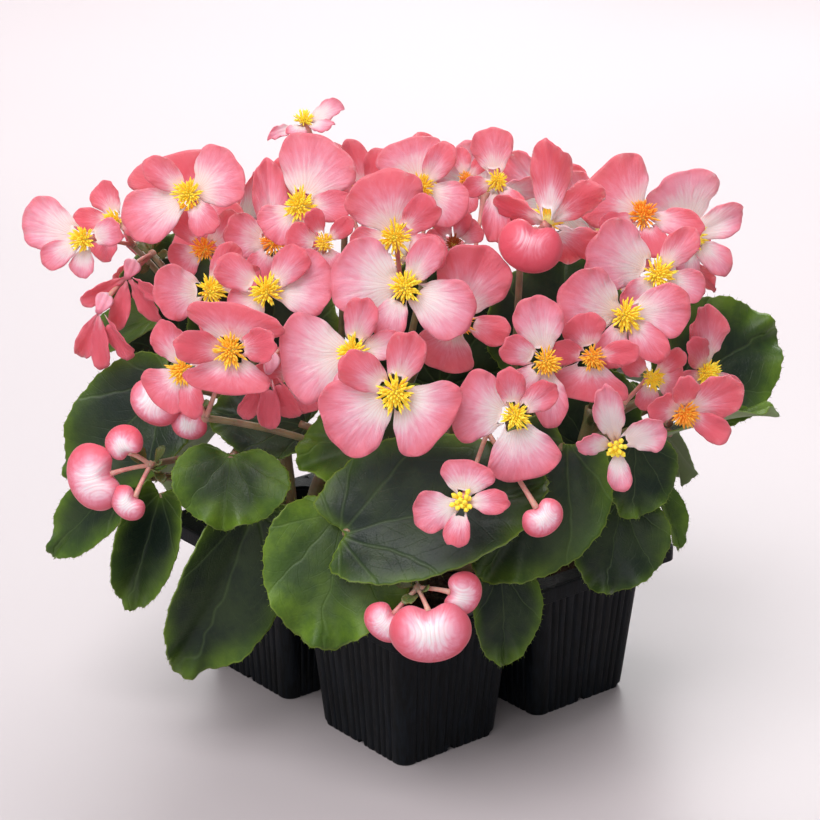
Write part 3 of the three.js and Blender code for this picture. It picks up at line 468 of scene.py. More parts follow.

# %% [markdown]
# ## Petal finish
#
# Each petal is salmon pink at its edge and fades to white at its claw, along a fan of fine veins, and its
# rim has a thin deeper line. Flowers differ: young ones are nearly white, and those in the shade are
# painted a deeper pink, as painted shade. The skin is satin, with a soft sheen. A thin petal lets some
# light through, which subsurface scattering gives.

# %% Petal material
def make_petal_material():
    """The further from the claw, the pinker. Streaks, patches and the blush, which also paints shade, shift
    that distance.
    """
    material, g, shader = new_material(
        "petals", sheen_weight=0.2, sheen_roughness=0.4, subsurface_weight=0.4,
        subsurface_radius=(1, 0.5, 0.45), subsurface_scale=0.004, specular_ior_level=0.3,
    )
    claw, across, seed, own = g.numbers("own")
    blush, back, edge, _ = g.numbers("look")
    along = (1.0 - claw) * 0.5
    beside, from_claw = across * 0.55, along + 0.06
    veins = g.use(VEIN_FAN, along=from_claw, sideways=beside, rays=7.0, width=0.012, seed=seed)[0]
    fan = g.math("ARCTAN2", beside, from_claw)
    streaks = g.noise(g.join(fan, along * 0.25, seed), 16.0, 3.0, 0.6)
    patches = g.noise(own, 1.4)
    far = along + abs(across) ** 2.0 * 0.3 + (streaks - 0.5) * 0.42 + (patches - 0.5) * 0.35
    # The blush is partly the flower's own pink and partly painted shade: a flower in shade is given more, so
    # it is painted deeper, here and in the deep pink below.
    far = far - (0.6 - blush) * 0.5
    light_pink, mid_pink = srgb(250, 196, 216), srgb(241, 148, 172)
    deep_pink, white = srgb(222, 88, 106), srgb(255, 250, 250)
    pink = g.mix(g.step(far, 0.25, 0.8), light_pink, mid_pink)
    pink = g.mix(g.step(far + blush * 0.5, 0.75, 1.4), pink, deep_pink)
    colour = g.mix(g.step(far, 0.12, 0.6), white, pink)
    colour = g.mix(veins * g.step(along, 0.05, 0.7, 0.22, 0.08), colour, deep_pink)
    rim = g.step(edge, 0.72, 1.0) * g.step(along, 0.15, 0.6, 0.1, 0.6)
    colour = g.mix(rim, colour, deep_pink)
    colour = g.mix(back * 0.3, colour, srgb(214, 96, 112))
    skin = g.use(CRYSTAL_SKIN, cell_size=0.0006, puckers=0.6)[0]
    normal = g.bump(skin + streaks * 1.6, 0.3, 0.0007)
    paint(g, shader, base_color=colour, normal=normal, roughness=g.step(streaks, 0.3, 0.7, 0.45, 0.6))
    return material


PETAL_FINISH = make_petal_material()

# %% [markdown]
# ## Stamen finish
#
# The anthers are bright yellow clubs on paler stalks. On older flowers they turn orange, and brown at last.
# They also glow faintly in their own colour, a painted light that lifts the shade inside the tuft.

# %% Stamen material
def make_stamen_material():
    # The faint emission is painted light: the stamens glow in their own colour to lift their shade.
    material, g, shader = new_material(
        "stamens", roughness=0.6, subsurface_weight=0.3, subsurface_scale=0.002, emission_strength=0.1
    )
    along, _, seed, _ = g.numbers("own")
    age, _, _, _ = g.numbers("look")
    fresh = g.mix(seed, srgb(255, 236, 84), srgb(255, 218, 62))
    ripe = g.mix(seed, srgb(255, 186, 66), srgb(244, 146, 54))
    colour = g.mix(g.step(age, 0.0, 0.6), fresh, ripe)
    colour = g.mix(g.step(age, 0.7, 1.0), colour, srgb(165, 88, 40))
    colour = g.mix(g.step(along, 0.2, 0.45), srgb(252, 238, 150), colour)
    normal = g.bump(g.noise(g.place(), 3500.0), 0.4, 0.0003)
    # The emission colour is the stamen's own colour, as painted light.
    paint(g, shader, base_color=colour, emission_color=colour, normal=normal)
    return material


STAMEN_FINISH = make_stamen_material()

# %% [markdown]
# ## Leaf finish
#
# A wax begonia's leaf is dark bluish green in the middle and yellow-green towards a thin pale margin. The
# veins fan out from the stalk and are a little paler. The upper face is waxy and catches the light in broad
# soft patches, and the under face is pale grey-green and dull.

# %% Leaf material
LEAF_RAYS = 1.75  # how many main veins leave the stalk in each radian of the fan


def make_leaf_material():
    """The nearer to the margin, the fresher the green; painted sunlight makes a leaf lighter and fresher."""
    material, g, shader = new_material(
        "foliage", specular_ior_level=0.22, coat_weight=0.04, coat_roughness=0.3
    )
    along, sideways, seed, own = g.numbers("own")
    sun, back, edge, _ = g.numbers("look")
    veins, side_veins = g.use(
        VEIN_FAN, along=along, sideways=sideways, rays=LEAF_RAYS, width=0.014, seed=seed
    )
    dark = g.use(MOTTLING, first=srgb(25, 38, 29), second=srgb(44, 58, 34), patches=60.0)[0]
    fresh = g.use(MOTTLING, first=srgb(62, 88, 30), second=srgb(92, 120, 34), patches=70.0)[0]
    patch = g.noise(own, 2.2, 3.0)
    # The sun number is painted light: leaves in the light are painted lighter and fresher, and those inside
    # the plant darker, as painted shade.
    light = edge**3.0 + (patch - 0.5) * 0.9 + (sun * 1.2 - 0.5)
    colour = g.mix(g.step(light, 0.0, 1.1), dark, fresh)
    colour = g.mix(g.math("MAXIMUM", veins * 0.14, side_veins * 0.015), colour, srgb(112, 136, 82))
    colour = g.mix(g.step(edge, 0.975, 1.0) * 0.4, colour, srgb(138, 158, 58))
    colour = g.mix(back, colour, g.mix(veins * 0.5, srgb(132, 150, 104), srgb(165, 175, 130)))
    skin = g.use(CRYSTAL_SKIN, cell_size=0.0007, puckers=1.0)[0]
    normal = g.bump(skin - veins - side_veins * 0.2, 0.35, 0.0007)
    roughness = g.step(patch, 0.3, 0.7, 0.36, 0.5) + back * 0.2
    paint(g, shader, base_color=colour, normal=normal, roughness=roughness)
    return material


LEAF_FINISH = make_leaf_material()

# %% [markdown]
# ## Stalk finish
#
# The stems are juicy and half clear: green at the foot, with pink running into the flower stalks.

# %% Stalk material
def make_stalk_material():
    material, g, shader = new_material(
        "stalks", roughness=0.4, subsurface_weight=0.3, subsurface_scale=0.003, specular_ior_level=0.4
    )
    along, around, seed, _ = g.numbers("own")
    pink, _, _, _ = g.numbers("look")
    green = g.use(MOTTLING, first=srgb(58, 76, 34), second=srgb(90, 104, 52), patches=120.0)[0]
    blush = g.use(MOTTLING, first=srgb(232, 176, 160), second=srgb(222, 140, 140), patches=200.0)[0]
    streak = g.noise(g.join(along * 2.0, around, seed), 4.0)
    share = g.math("ADD", pink, (streak - 0.5) * 0.4, clamp=True)
    skin = g.use(CRYSTAL_SKIN, cell_size=0.0008, puckers=0.6)[0]
    paint(g, shader, base_color=g.mix(share, green, blush), normal=g.bump(skin, 0.3, 0.0004))
    return material


STALK_FINISH = make_stalk_material()

# %% [markdown]
# ## Where the flowers are
#
# Thirty sprays carry the flowers. Each row is one flower, as the imported model has it, with its colour added.

# %% Rows of the sprays
# A bloom: across, out, up of its middle; the way it faces, in degrees to the right and up; its size; the
# angles of its two big and two small petals; how far the petals lift; how wide and how long its two big
# petals are, as shares of a full petal; how pink it is, from 0 to 1; and the age of its stamens, from 0 to
# 1, or -1 for knobs.
# A bud: across, out, up; facing right and up; width; the angle of its stalk; how pink it is.
# A female flower: as a bloom up to its size; its first petal's angle, their spread and number; how pink it
# is.
# Each pinkness is partly the flower's own colour and partly painted shade: a flower in shade is given more.
SPRAYS = [
    {"plant": "left", "blooms": [
        [-75, 12, 180, -12, 24, 0.95, 32, 213, 146, 307, 14, 0.83, 0.7, 0.73, 0.9, 0.5, 0.1],
        [-77, -14, 166, -8, 20, 1, 102, 336, 169, 272, 14, 1.3, 0.74, 0.74, 0.64, 0.95, 0.3],
    ]},
    {"plant": "left", "blooms": [
        [-101, -4, 166, -35, 12, 0.8, 122, 248, 185, 5, 12, 0.54, 0.54, 0.6, 0.61, 0.75, 0.1],
        [-111, 6, 163, -18, 14, 0.85, 164, 271, 215, 18, 8, 0.75, 0.37, 0.96, 0.5, 0.25, 0.1],
    ]},
    {"plant": "left", "fork": [-90, -6, 154], "females": [
        [-97, 11, 151, -10, -20, 0.95, 206, 154, 4, 1.5],
        [-106, 21, 142, -16, -24, 1, 245, 64, 3, 1.4],
    ]},
    {"plant": "left", "blooms": [
        [-71, 8, 160, -5, 18, 0.8, 29, 210, 328, 128, 18, 0.73, 0.58, 0.75, 0.5, 0.8, 0.6],
        [-48, 14, 164, 10, 26, 0.9, 92, 166, 33, 238, 20, 0.48, 0.62, 1.1, 0.65, 0.6, 0.6],
    ]},
    {"plant": "left", "fork": [-24, 2, 172], "blooms": [
        [-38, -9, 199, 8, 55, 0.62, 18, 219, 245, 317, 20, 0.48, 0.3, 0.76, 0.92, 0.15, 0],
        [-38, 29, 181, -4, 24, 1, 69, 221, 358, 277, 14, 0.93, 0.52, 0.83, 0.5, 0.5, 0.1],
    ]},
    {"plant": "front", "blooms": [
        [-48, 58, 161, 0, 30, 1, 12, 218, 151, 46, 14, 0.78, 0.52, 0.75, 0.42, 0.45, 0.1],
        [-67, 47, 158, 20, 24, 0.9, 177, 13, 56, 261, 12, 0.73, 0.36, 0.72, 0.68, 0.6, 0.1],
    ]},
    {"plant": "front", "fork": [-68, 62, 120], "blooms": [
        [-58, 79, 149, -8, 15, 1, 82, 268, 174, 14, 26, 1.1, 0.97, 0.52, 0.46, 0.75, 0.3],
        [-74, 66, 138, -18, 12, 0.85, 118, 230, 7, 299, 14, 0.5, 0.72, 0.67, 0.56, 0.7, 0.3],
    ]},
    {"plant": "front", "blooms": [
        [-20, 79, 148, -4, 20, 1, 186, 16, 78, 265, 14, 1, 0.34, 0.8, 0.58, 0.35, 0],
        [-7, 95, 141, 0, 16, 1.12, 210, 322, 147, 75, 12, 0.78, 0.84, 0.78, 0.62, 0.5, 0.1],
    ]},
    {"plant": "front", "blooms": [
        [-4, 65, 165, 0, 22, 1, 167, 332, 55, 246, 12, 0.91, 0.69, 0.81, 0.85, 0.3, 0.05],
        [-7, 47, 176, 0, 16, 1, 105, 200, 338, 43, 14, 0.92, 0.51, 0.75, 0.49, 0.7, 0.15],
    ]},
    {"plant": "front", "blooms": [
        [1, 32, 188, 4, 24, 0.9, 110, 326, 53, 210, 14, 0.86, 0.66, 0.62, 0.62, 0.5, 0.2],
        [16, 8, 184, 0, 24, 0.5, 102, 270, 44, 217, 18, 0.48, 0.63, 0.67, 0.73, 0.7, 0.5],
    ]},
    {"plant": "right", "blooms": [
        [26, 20, 187, 5, 20, 0.66, 98, 265, 303, 194, 16, 0.76, 0.51, 0.91, 1.1, 0.65, 0.1],
        [42, 38, 178, 168, 24, 1.1, 93, 240, 151, 358, 14, 0.44, 0.65, 0.99, 0.71, 0.85, 0.1],
    ], "buds": [
        [36, 49, 174, -8, 16, 21, 75, 1.1],
    ]},
    {"plant": "front", "blooms": [
        [-30, 43, 173, 4, 20, 0.6, 174, 287, 37, 112, 18, 0.7, 0.62, 0.67, 0.56, 0.8, 0.2],
        [-38, 55, 132, -4, 8, 0.8, 280, 112, 170, 6, 16, 0.68, 0.68, 0.48, 0.44, 0.8, 0.2],
    ], "females": [
        [-47, 72, 139, 0, -30, 1, 240, 60, 3, 1.3],
    ]},
    {"plant": "front", "blooms": [
        [12, 26, 167, 0, 34, 0.55, 42, 178, 67, 124, 20, 0.71, 0.63, 0.59, 0.53, 0.7, 1],
        [13, 53, 150, 10, 12, 0.9, 71, 240, 343, 145, 12, 0.98, 0.82, 0.99, 0.63, 0.75, 0.5],
    ]},
    {"plant": "right", "blooms": [
        [40, 78, 145, 4, 14, 0.85, 101, 275, 157, 218, 10, 0.67, 0.46, 0.87, 0.85, 0.45, 0.3],
        [55, 70, 144, 4, 6, 0.78, 260, 108, 165, 12, 14, 1.2, 0.64, 0.61, 0.63, 0.85, 0.4],
    ]},
    {"plant": "front", "fork": [34, 66, 133], "blooms": [
        [30, 91, 132, 4, 10, 0.85, 165, 281, 99, 40, 10, 0.96, 0.93, 0.78, 0.85, 0.5, 0.1],
    ]},
    {"plant": "front", "fork": [22, 80, 122], "blooms": [
        [14, 106, 109, -4, 22, 0.75, 83, 199, 261, 2, 12, 0.81, 0.63, 0.55, 0.71, 0.5, -1],
    ], "buds": [
        [39, 97, 100, 15, 10, 14, 120, 0.7],
    ]},
    {"plant": "right", "blooms": [
        [66, 56, 153, 8, 14, 1, 158, 5, 308, 242, 14, 0.81, 0.63, 0.79, 0.74, 0.5, 0.1],
        [78, 33, 159, 14, 20, 1, 153, 335, 50, 217, 14, 0.83, 0.41, 0.95, 0.57, 0.4, 0.1],
    ]},
    {"plant": "right", "blooms": [
        [75, 10, 172, 0, 30, 0.95, 141, 344, 207, 284, 20, 1.1, 0.39, 0.78, 0.78, 0.75, 0.5],
        [92, -6, 160, 28, 14, 0.95, 103, 18, 309, 243, 14, 1.1, 0.44, 0.85, 0.8, 0.15, 0.1],
    ]},
    {"plant": "right", "blooms": [
        [62, 86, 120, 4, -6, 0.72, 103, 27, 161, 277, 16, 0.5, 0.61, 1.2, 0.79, 0.1, -1],
        [76, 48, 129, 10, 6, 0.7, 257, 346, 143, 46, 16, 0.46, 0.64, 0.49, 0.45, 0.7, 0.1],
    ]},
    {"plant": "right", "fork": [84, 30, 106], "blooms": [
        [85, 66, 124, 10, -6, 0.85, 30, 164, 333, 98, 16, 0.67, 0.5, 0.82, 0.46, 0.85, 0.5],
        [96, 25, 122, 24, 10, 0.9, 95, 322, 122, 190, 18, 0.57, 0.38, 0.97, 0.51, 0.7, 0.1],
    ]},
    {"plant": "left", "fork": [-87, 55, 101], "buds": [
        [-105, 58, 98, -20, 5, 23, 18, 0.7],
        [-95, 58, 110, -20, 5, 14, 300, 0.7],
        [-94, 63, 91, -15, 0, 13, 40, 0.7],
    ]},
    {"plant": "front", "fork": [0, 97, 76], "buds": [
        [4, 105, 65, 0, 0, 26, 95, 0.7],
        [-10, 101, 66, -10, 0, 15, 50, 0.7],
        [14, 101, 76, 10, 0, 15, 170, 0.7],
    ]},
    {"plant": "left", "buds": [
        [-85, 53, 122, -20, 5, 18, 65, 0.7],
        [-74, 55, 115, -10, 0, 12, 80, 0.7],
    ]},
    {"plant": "right", "blooms": [
        [64, -46, 150, 130, 30, 0.95, 60, 235, 150, 320, 14, 1, 0.8, 0.9, 0.8, 0.5, 0.1],
        [92, -44, 140, 112, 10, 0.95, 120, 300, 210, 30, 14, 0.9, 1, 0.85, 0.9, 0.6, 0.1],
    ]},
    {"plant": "back", "blooms": [
        [24, -44, 165, 160, 52, 0.9, 20, 195, 105, 285, 14, 1, 0.9, 0.9, 0.8, 0.4, 0.1],
    ]},
    {"plant": "back", "blooms": [
        [-26, -44, 166, -160, 50, 0.9, 165, 340, 75, 255, 14, 1, 0.9, 0.9, 0.9, 0.7, 0.1],
        [-17, -16, 172, 0, 34, 0.85, 110, 11, 69, 168, 16, 0.44, 0.67, 0.8, 0.3, 0.95, 0.3],
    ]},
    {"plant": "left", "blooms": [
        [-64, -50, 150, -130, 30, 0.95, 130, 310, 40, 220, 14, 1, 0.9, 0.9, 0.8, 0.6, 0.1],
        [-93, -46, 138, -116, 8, 0.9, 75, 255, 165, 345, 14, 1, 0.8, 0.9, 0.9, 0.7, 0.1],
    ]},
    {"plant": "back", "blooms": [
        [50, -76, 150, 150, 20, 0.98, 25, 215, 120, 300, 14, 1, 0.9, 0.9, 0.9, 0.5, 0.1],
        [70, -78, 118, 136, 0, 0.9, 100, 280, 10, 190, 16, 0.8, 1, 0.9, 0.9, 0.6, 0.1],
    ]},
    {"plant": "back", "blooms": [
        [5, -80, 158, 178, 25, 1, 170, 335, 80, 255, 12, 1, 0.9, 0.9, 0.9, 0.4, 0.1],
        [-4, -95, 124, -176, 4, 0.95, 200, 335, 90, 268, 12, 1, 0.9, 0.9, 0.9, 0.5, 0.1],
    ]},
    {"plant": "back", "blooms": [
        [-42, -79, 151, -152, 18, 0.98, 150, 345, 60, 250, 14, 1, 0.9, 0.9, 0.9, 0.7, 0.1],
        [-66, -80, 118, -142, 0, 0.9, 95, 265, 180, 0, 16, 1, 0.9, 0.9, 0.9, 0.4, 0.1],
    ]},
]

# %% [markdown]
# ## Petals
#
# A petal could be a bent ellipse, but its claw and its broad round end need a formula of their own. A
# square grid is first eased into a disc, whose two numbers then give the petal: one runs from the claw to
# the tip and the other to its sides. That keeps the faces even, with no crowded point at the tip. The
# height formula curls the end back and lifts the sides, and slow waves with random phases ruffle the
# margin.

# %% Sizes of a flower
BIG_LENGTH = 25.5
BIG_WIDTH = 27.5
BIG_GRID = 19  # how many points a side has of the grid for a big petal
SMALL_LENGTH = 16.5
SMALL_WIDTH = 10.5
SMALL_GRID = 13
SMALL_LIFT = 12  # a small petal lifts by so many degrees more than a big one
SMALL_STEP = 1.2  # and stands so far above it
SMALL_BLUSH = 0.2  # and is so much pinker
HUB_RING = 2.6  # how far from the middle a petal starts
CLAW_REACH = 1.9  # how far the claw runs in under the stamens
PETAL_THICKNESS = 0.5
OPEN_FOLD = 0.1  # the fold of a petal that lies open
NARROW_FOLD = 0.4  # and that of a female flower's petal or a bract
SEED_SPAN = 6.3  # just over a full turn, so that a petal's seed stays below 1


# %% From a disc to a petal
def disc(count):
    """A square grid of that many points a side, eased into a disc of radius 1."""
    line = np.linspace(-1, 1, count)
    x, y = np.meshgrid(line, line, indexing="ij")
    return x * np.sqrt(1 - y * y / 2), y * np.sqrt(1 - x * x / 2)


def petal(centre, axes, angle, length, half, fold, lift, step, blush, grid, ruffle=1.0):
    """One petal as a shell. On the disc, x runs from 1 at the claw to -1 at the tip: the distance along, v,
    is (1 - x) / 2 of the length, and the distance sideways, s, is y (1 - 0.3 x) of the half width. Its height
    is length (0.1 v - 0.16 v v + 0.35 fold s s v), less a groove along its middle, and its margin waves by a
    few hundredths of its length. The more a petal is folded, the more it narrows towards its tip."""
    x, y = disc(grid)
    reach, turn = np.hypot(x, y), np.arctan2(y, x)
    first, second, third, seed = random.random(4) * 2 * np.pi
    wobble = 1 + ruffle * reach**4 * (0.035 * np.sin(3 * turn + first) + 0.018 * np.sin(8 * turn + second))
    v = (1 - x * wobble) / 2
    s = y * wobble * (1 - 0.3 * x) * (1 - 0.55 * max(0, fold - OPEN_FOLD) * v**3)
    fan = np.arctan2(0.55 * s, v + 0.1)
    height = length * (0.1 * v - 0.16 * v**2 + 0.35 * fold * s**2 * v)
    height += ruffle * length * v * reach**2 * 0.05 * np.sin(3 * turn + third)
    height += ruffle * length * v**1.5 * (0.028 * np.sin(7 * fan + first) + 0.01 * np.sin(19 * fan + third))
    height += ruffle * length * reach**5 * (0.024 * np.sin(9 * turn + second) + 0.01 * np.sin(17 * turn))
    height -= 0.025 * length * np.exp(-((fan / 0.07) ** 2)) * v * (1 - v)
    along = length * v - CLAW_REACH * np.clip(x, 0, 1) ** 10
    way, face, rise = way_at(axes, angle), axes[2], math.radians(lift)
    level = HUB_RING + along * math.cos(rise) - height * math.sin(rise)
    above = step + along * math.sin(rise) + height * math.cos(rise)
    place = centre + level[..., None] * way + (half * s)[..., None] * np.cross(face, way)
    place = place + above[..., None] * face
    thickness = PETAL_THICKNESS * (1 - 0.55 * reach**3)
    return shell(with_numbers(place, (x, y, seed / SEED_SPAN), (blush, 0, reach)), thickness)


def add_bloom_petals(pile, row):
    """The two big and the two small petals of a bloom. A big petal that looks narrow is a folded one."""
    size, big_a, big_b, small_a, small_b, lift, wide_a, wide_b, long_a, long_b, blush = row[5:16]
    centre, axes = stance(row)
    for angle, wide, long in ((big_a, wide_a, long_a), (big_b, wide_b, long_b)):
        fold = OPEN_FOLD + 0.6 * (1 - min(wide, 1))
        length, half = BIG_LENGTH * size * long, BIG_WIDTH * size * wide / 2
        pile.add(*petal(centre, axes, angle, length, half, fold, lift, 0, blush, BIG_GRID))
    length, half = SMALL_LENGTH * size, SMALL_WIDTH * size / 2
    for angle in (small_a, small_b):
        pile.add(*petal(centre, axes, angle, length, half, OPEN_FOLD, lift + SMALL_LIFT, SMALL_STEP,
                        blush + SMALL_BLUSH, SMALL_GRID))


# %% [markdown]
# ## Stamens
#
# A begonia's stamens are a dense tuft of little clubs. The golden angle spreads them evenly over a dome.
# All the stamens of a bloom are worked out as one array of paths, and each is a thin stalk that swells to
# its club.

# %% Tuft of stamens
GOLDEN_ANGLE = math.pi * (3 - math.sqrt(5))
TUFT_RADIUS = 6.4
TUFT_HEIGHT = 6.8
STAMEN_COUNT = 88
STAMEN_SHAPE = (0.17, 0.22, 0.18)  # the stalk's radius, what the club adds to it, and what its end loses
KNOB_COUNT = 13
KNOB_SHAPE = (0.5, 0.75, 0.5)


def add_stamens(pile, row):
    """The tuft: the stamen with number i stands the square root of i / count from the middle, and curves out.
    Where the age is below 0, a few fat knobs stand there instead."""
    size, age = row[5], row[-1]
    centre, (side, top, face) = stance(row)
    count, shape = (KNOB_COUNT, KNOB_SHAPE) if age < 0 else (STAMEN_COUNT, STAMEN_SHAPE)
    i = np.arange(count)[:, None]
    share = np.sqrt((i + 0.5) / count)
    turn = i * GOLDEN_ANGLE + random.uniform(-0.25, 0.25, (count, 1))
    long = random.uniform(0.72, 1.08, (count, 1))
    t = np.linspace(0, 1, 7)
    out = TUFT_RADIUS * size * share * (0.22 + 0.78 * t**1.4) * long
    up = TUFT_HEIGHT * size * (1 - 0.42 * share**2) * t * long + 0.3
    paths = centre + out[..., None] * (np.cos(turn)[..., None] * side + np.sin(turn)[..., None] * top)
    paths = paths + up[..., None] * face
    stalk, club, end = shape
    radius = stalk + club * np.exp(-(((t - 0.8) / 0.2) ** 2)) - end * (t > 0.97)
    radii, steps = (np.broadcast_to(value, out.shape) for value in (radius * size, t))
    seeds = np.broadcast_to(random.random((count, 1)), out.shape)
    pile.add(*tubes(paths, radii, 5, (steps, 0, seeds), (max(age, 0), 0, 0)))


# %% [markdown]
# ## Buds and female flowers
#
# A bud is a flat purse: two round petals pressed face to face, with a notch where the stalk joins. A female
# flower has narrow pointed petals on a seed case with three thin wings.

# %% Bud
BUD_GRID = 21
BUD_PLUMPNESS = 0.48  # its thickness as a share of its width


def add_bud(pile, row):
    """The purse: a disc as thick as a ball that is flattened to about half, with a notch at its stalk."""
    width, stalk_angle, blush = row[5:8]
    centre, axes = stance(row)
    way = way_at(axes, stalk_angle)
    x, y = disc(BUD_GRID)
    reach = np.hypot(x, y)
    notch = 0.3 * np.exp(-((y / 0.35) ** 2)) * np.clip(x / 0.8, 0, 1) ** 1.5
    along = width / 2 * (0.84 * x - notch)
    place = centre + along[..., None] * way + (width / 2 * y)[..., None] * np.cross(axes[2], way)
    thickness = width * BUD_PLUMPNESS * np.sqrt(np.clip(1 - reach**2, 0.0006, 1)) * (1 - 0.2 * notch)
    own = (0.5 + 0.5 * x - 1.1 * reach**2, y * 0.8, random.random())
    pile.add(*shell(with_numbers(place, own, (blush, 0, reach)), thickness))


# %% Female flower
FEMALE_HALF = 0.35  # half its petals' width, as a share of a small petal's
FEMALE_LIFTS = (22, 34)  # how many degrees its lower and its upper petals lift
CASE_LENGTH = 8.7
CASE_RADIUS = 1.2
WING_HEIGHT = 1.9


def add_female(pile, row):
    """The narrow petals of a female flower, and its seed case: a tube that is a little wider halfway, with
    three wings where cos(3 turn) to the third power is high, which taper to both ends."""
    size, first, spread, count, blush = row[5:10]
    centre, axes = stance(row)
    length, half = SMALL_LENGTH * size, SMALL_WIDTH * size * FEMALE_HALF
    for i in range(count):
        angle, upper = first + spread * i / (count - 1), i % 2
        pile.add(*petal(centre, axes, angle, length, half, NARROW_FOLD, FEMALE_LIFTS[upper],
                        SMALL_STEP * upper, blush, SMALL_GRID))
    side, top, face = axes
    t, turn = np.meshgrid(np.linspace(0, 1, 11), np.linspace(0, 2 * np.pi, 36, endpoint=False), indexing="ij")
    wing = np.clip(np.cos(3 * turn), 0, 1) ** 3
    taper = np.sin(np.pi * np.clip(t * 1.05, 0, 1)) ** 0.7
    radius = (CASE_RADIUS + 0.5 * np.sin(np.pi * t)) + WING_HEIGHT * wing * taper
    place = centre - (0.3 + CASE_LENGTH * (1 - t))[..., None] * face
    place = place + (radius * np.cos(turn))[..., None] * side + (radius * np.sin(turn))[..., None] * top
    pile.add(*rings(with_numbers(place, (0.3 - 0.6 * t, 0, 0.3), (blush * 0.5, 0, wing))[None]))


# %% [markdown]
# ## Stalks of the sprays
#
# Each flower's own short stalk runs from the fork of its spray to its back, where it widens into a small
# cone. A fork that carries no open male flower has a few cream bracts, like tiny petals.

# %% Fork of a spray
PEDICEL_REACH = 20
BUD_STALK_REACH = 12
PEDICEL_RADIUS = 0.75
BLOOM_BACK = 0.4  # how far behind a bloom's middle its stalk ends
FEMALE_BACK = 6
FORK_DROP = 6
FORK_RADIUS = 1.52
BRACTS = 6
BRACT_LENGTH = 5.5
BRACT_HALF = 1.7
BRACT_LIFT = 38
BRACT_GRID = 7


def bud_root(row):
    """Where a bud's stalk joins it."""
    centre, axes = stance(row)
    return centre + 0.25 * row[5] * way_at(axes, row[6])


def fork_of(spray):
    """The fork, where its row puts it, or behind and below the middle of what it carries."""
    if "fork" in spray:
        return spot(spray["fork"])
    backs = [spot(row[:3]) - PEDICEL_REACH * facing(*row[3:5]) for row in spray.get("blooms", [])]
    backs += [spot(row[:3]) - PEDICEL_REACH * facing(row[3], 0) for row in spray.get("females", [])]
    backs += [bud_root(row) - BUD_STALK_REACH * facing(*row[3:5]) for row in spray.get("buds", [])]
    return np.mean(backs, 0) - FORK_DROP * UP


def add_stalk(pile, start, end, pink, flare=1.5):
    """A flower's stalk: a straight run with a slight bow, wider where it meets the flower."""
    t = np.linspace(0, 1, 9)
    path = start + t[:, None] * (end - start) + (0.4 * np.sin(np.pi * t))[:, None] * UP
    radii = PEDICEL_RADIUS * (1 + (flare - 1) * t**6 + 0.25 * (1 - t) ** 8)
    pile.add_tube(path, radii, 8, (t[None], 0, random.random()), (pink, 0, 0))


def add_bracts(pile, fork):
    """Small cream bracts round a fork, each a little petal that lifts steeply."""
    for i in range(BRACTS):
        axes = bloom_axes(random.uniform(-60, 60), random.uniform(0, 70))
        pile.add(*petal(fork, axes, i * 360 / BRACTS, BRACT_LENGTH, BRACT_HALF, NARROW_FOLD, BRACT_LIFT, 0, 0,
                        BRACT_GRID, ruffle=0.6))


def add_fork(pile, fork):
    """The swollen fork itself: a short round knob."""
    t = np.linspace(-1, 1, 7)
    radii = FORK_RADIUS * np.sqrt(np.clip(1 - t * t, 0.04, 1))
    pile.add_tube(fork + (FORK_RADIUS * t)[:, None] * UP, radii, 10, (0, 0, 0.4), (0.6, 0, 0))


# %% Every spray
triangles = 0
for number, spray in enumerate(SPRAYS, 1):
    petals, tufts, stalks = Pile(), Pile(), Pile()
    fork = fork_of(spray)
    add_fork(stalks, fork)
    for row in spray.get("blooms", []):
        add_bloom_petals(petals, row)
        add_stamens(tufts, row)
        add_stalk(stalks, fork, spot(row[:3]) - BLOOM_BACK * facing(*row[3:5]), pink=0.85, flare=2.6)
    for row in spray.get("females", []):
        add_female(petals, row)
        add_stalk(stalks, fork, spot(row[:3]) - FEMALE_BACK * facing(*row[3:5]), pink=0.8)
    for row in spray.get("buds", []):
        add_bud(petals, row)
        add_stalk(stalks, fork, bud_root(row), pink=0.9)
    if "blooms" not in spray:
        add_bracts(stalks, fork)
    petals.make(f"petals_{number:02d}", PETAL_FINISH, "petals", f"spray_{number:02d}")
    stalks.make(f"stalks_{number:02d}", STALK_FINISH, "foliage")
    if tufts.count:
        tufts.make(f"stamens_{number:02d}", STAMEN_FINISH, "petals")
    triangles += 2 * sum(len(group) for pile in (petals, tufts, stalks) for group in pile.faces)
print("sprays:", len(SPRAYS), "with about", triangles, "triangles")
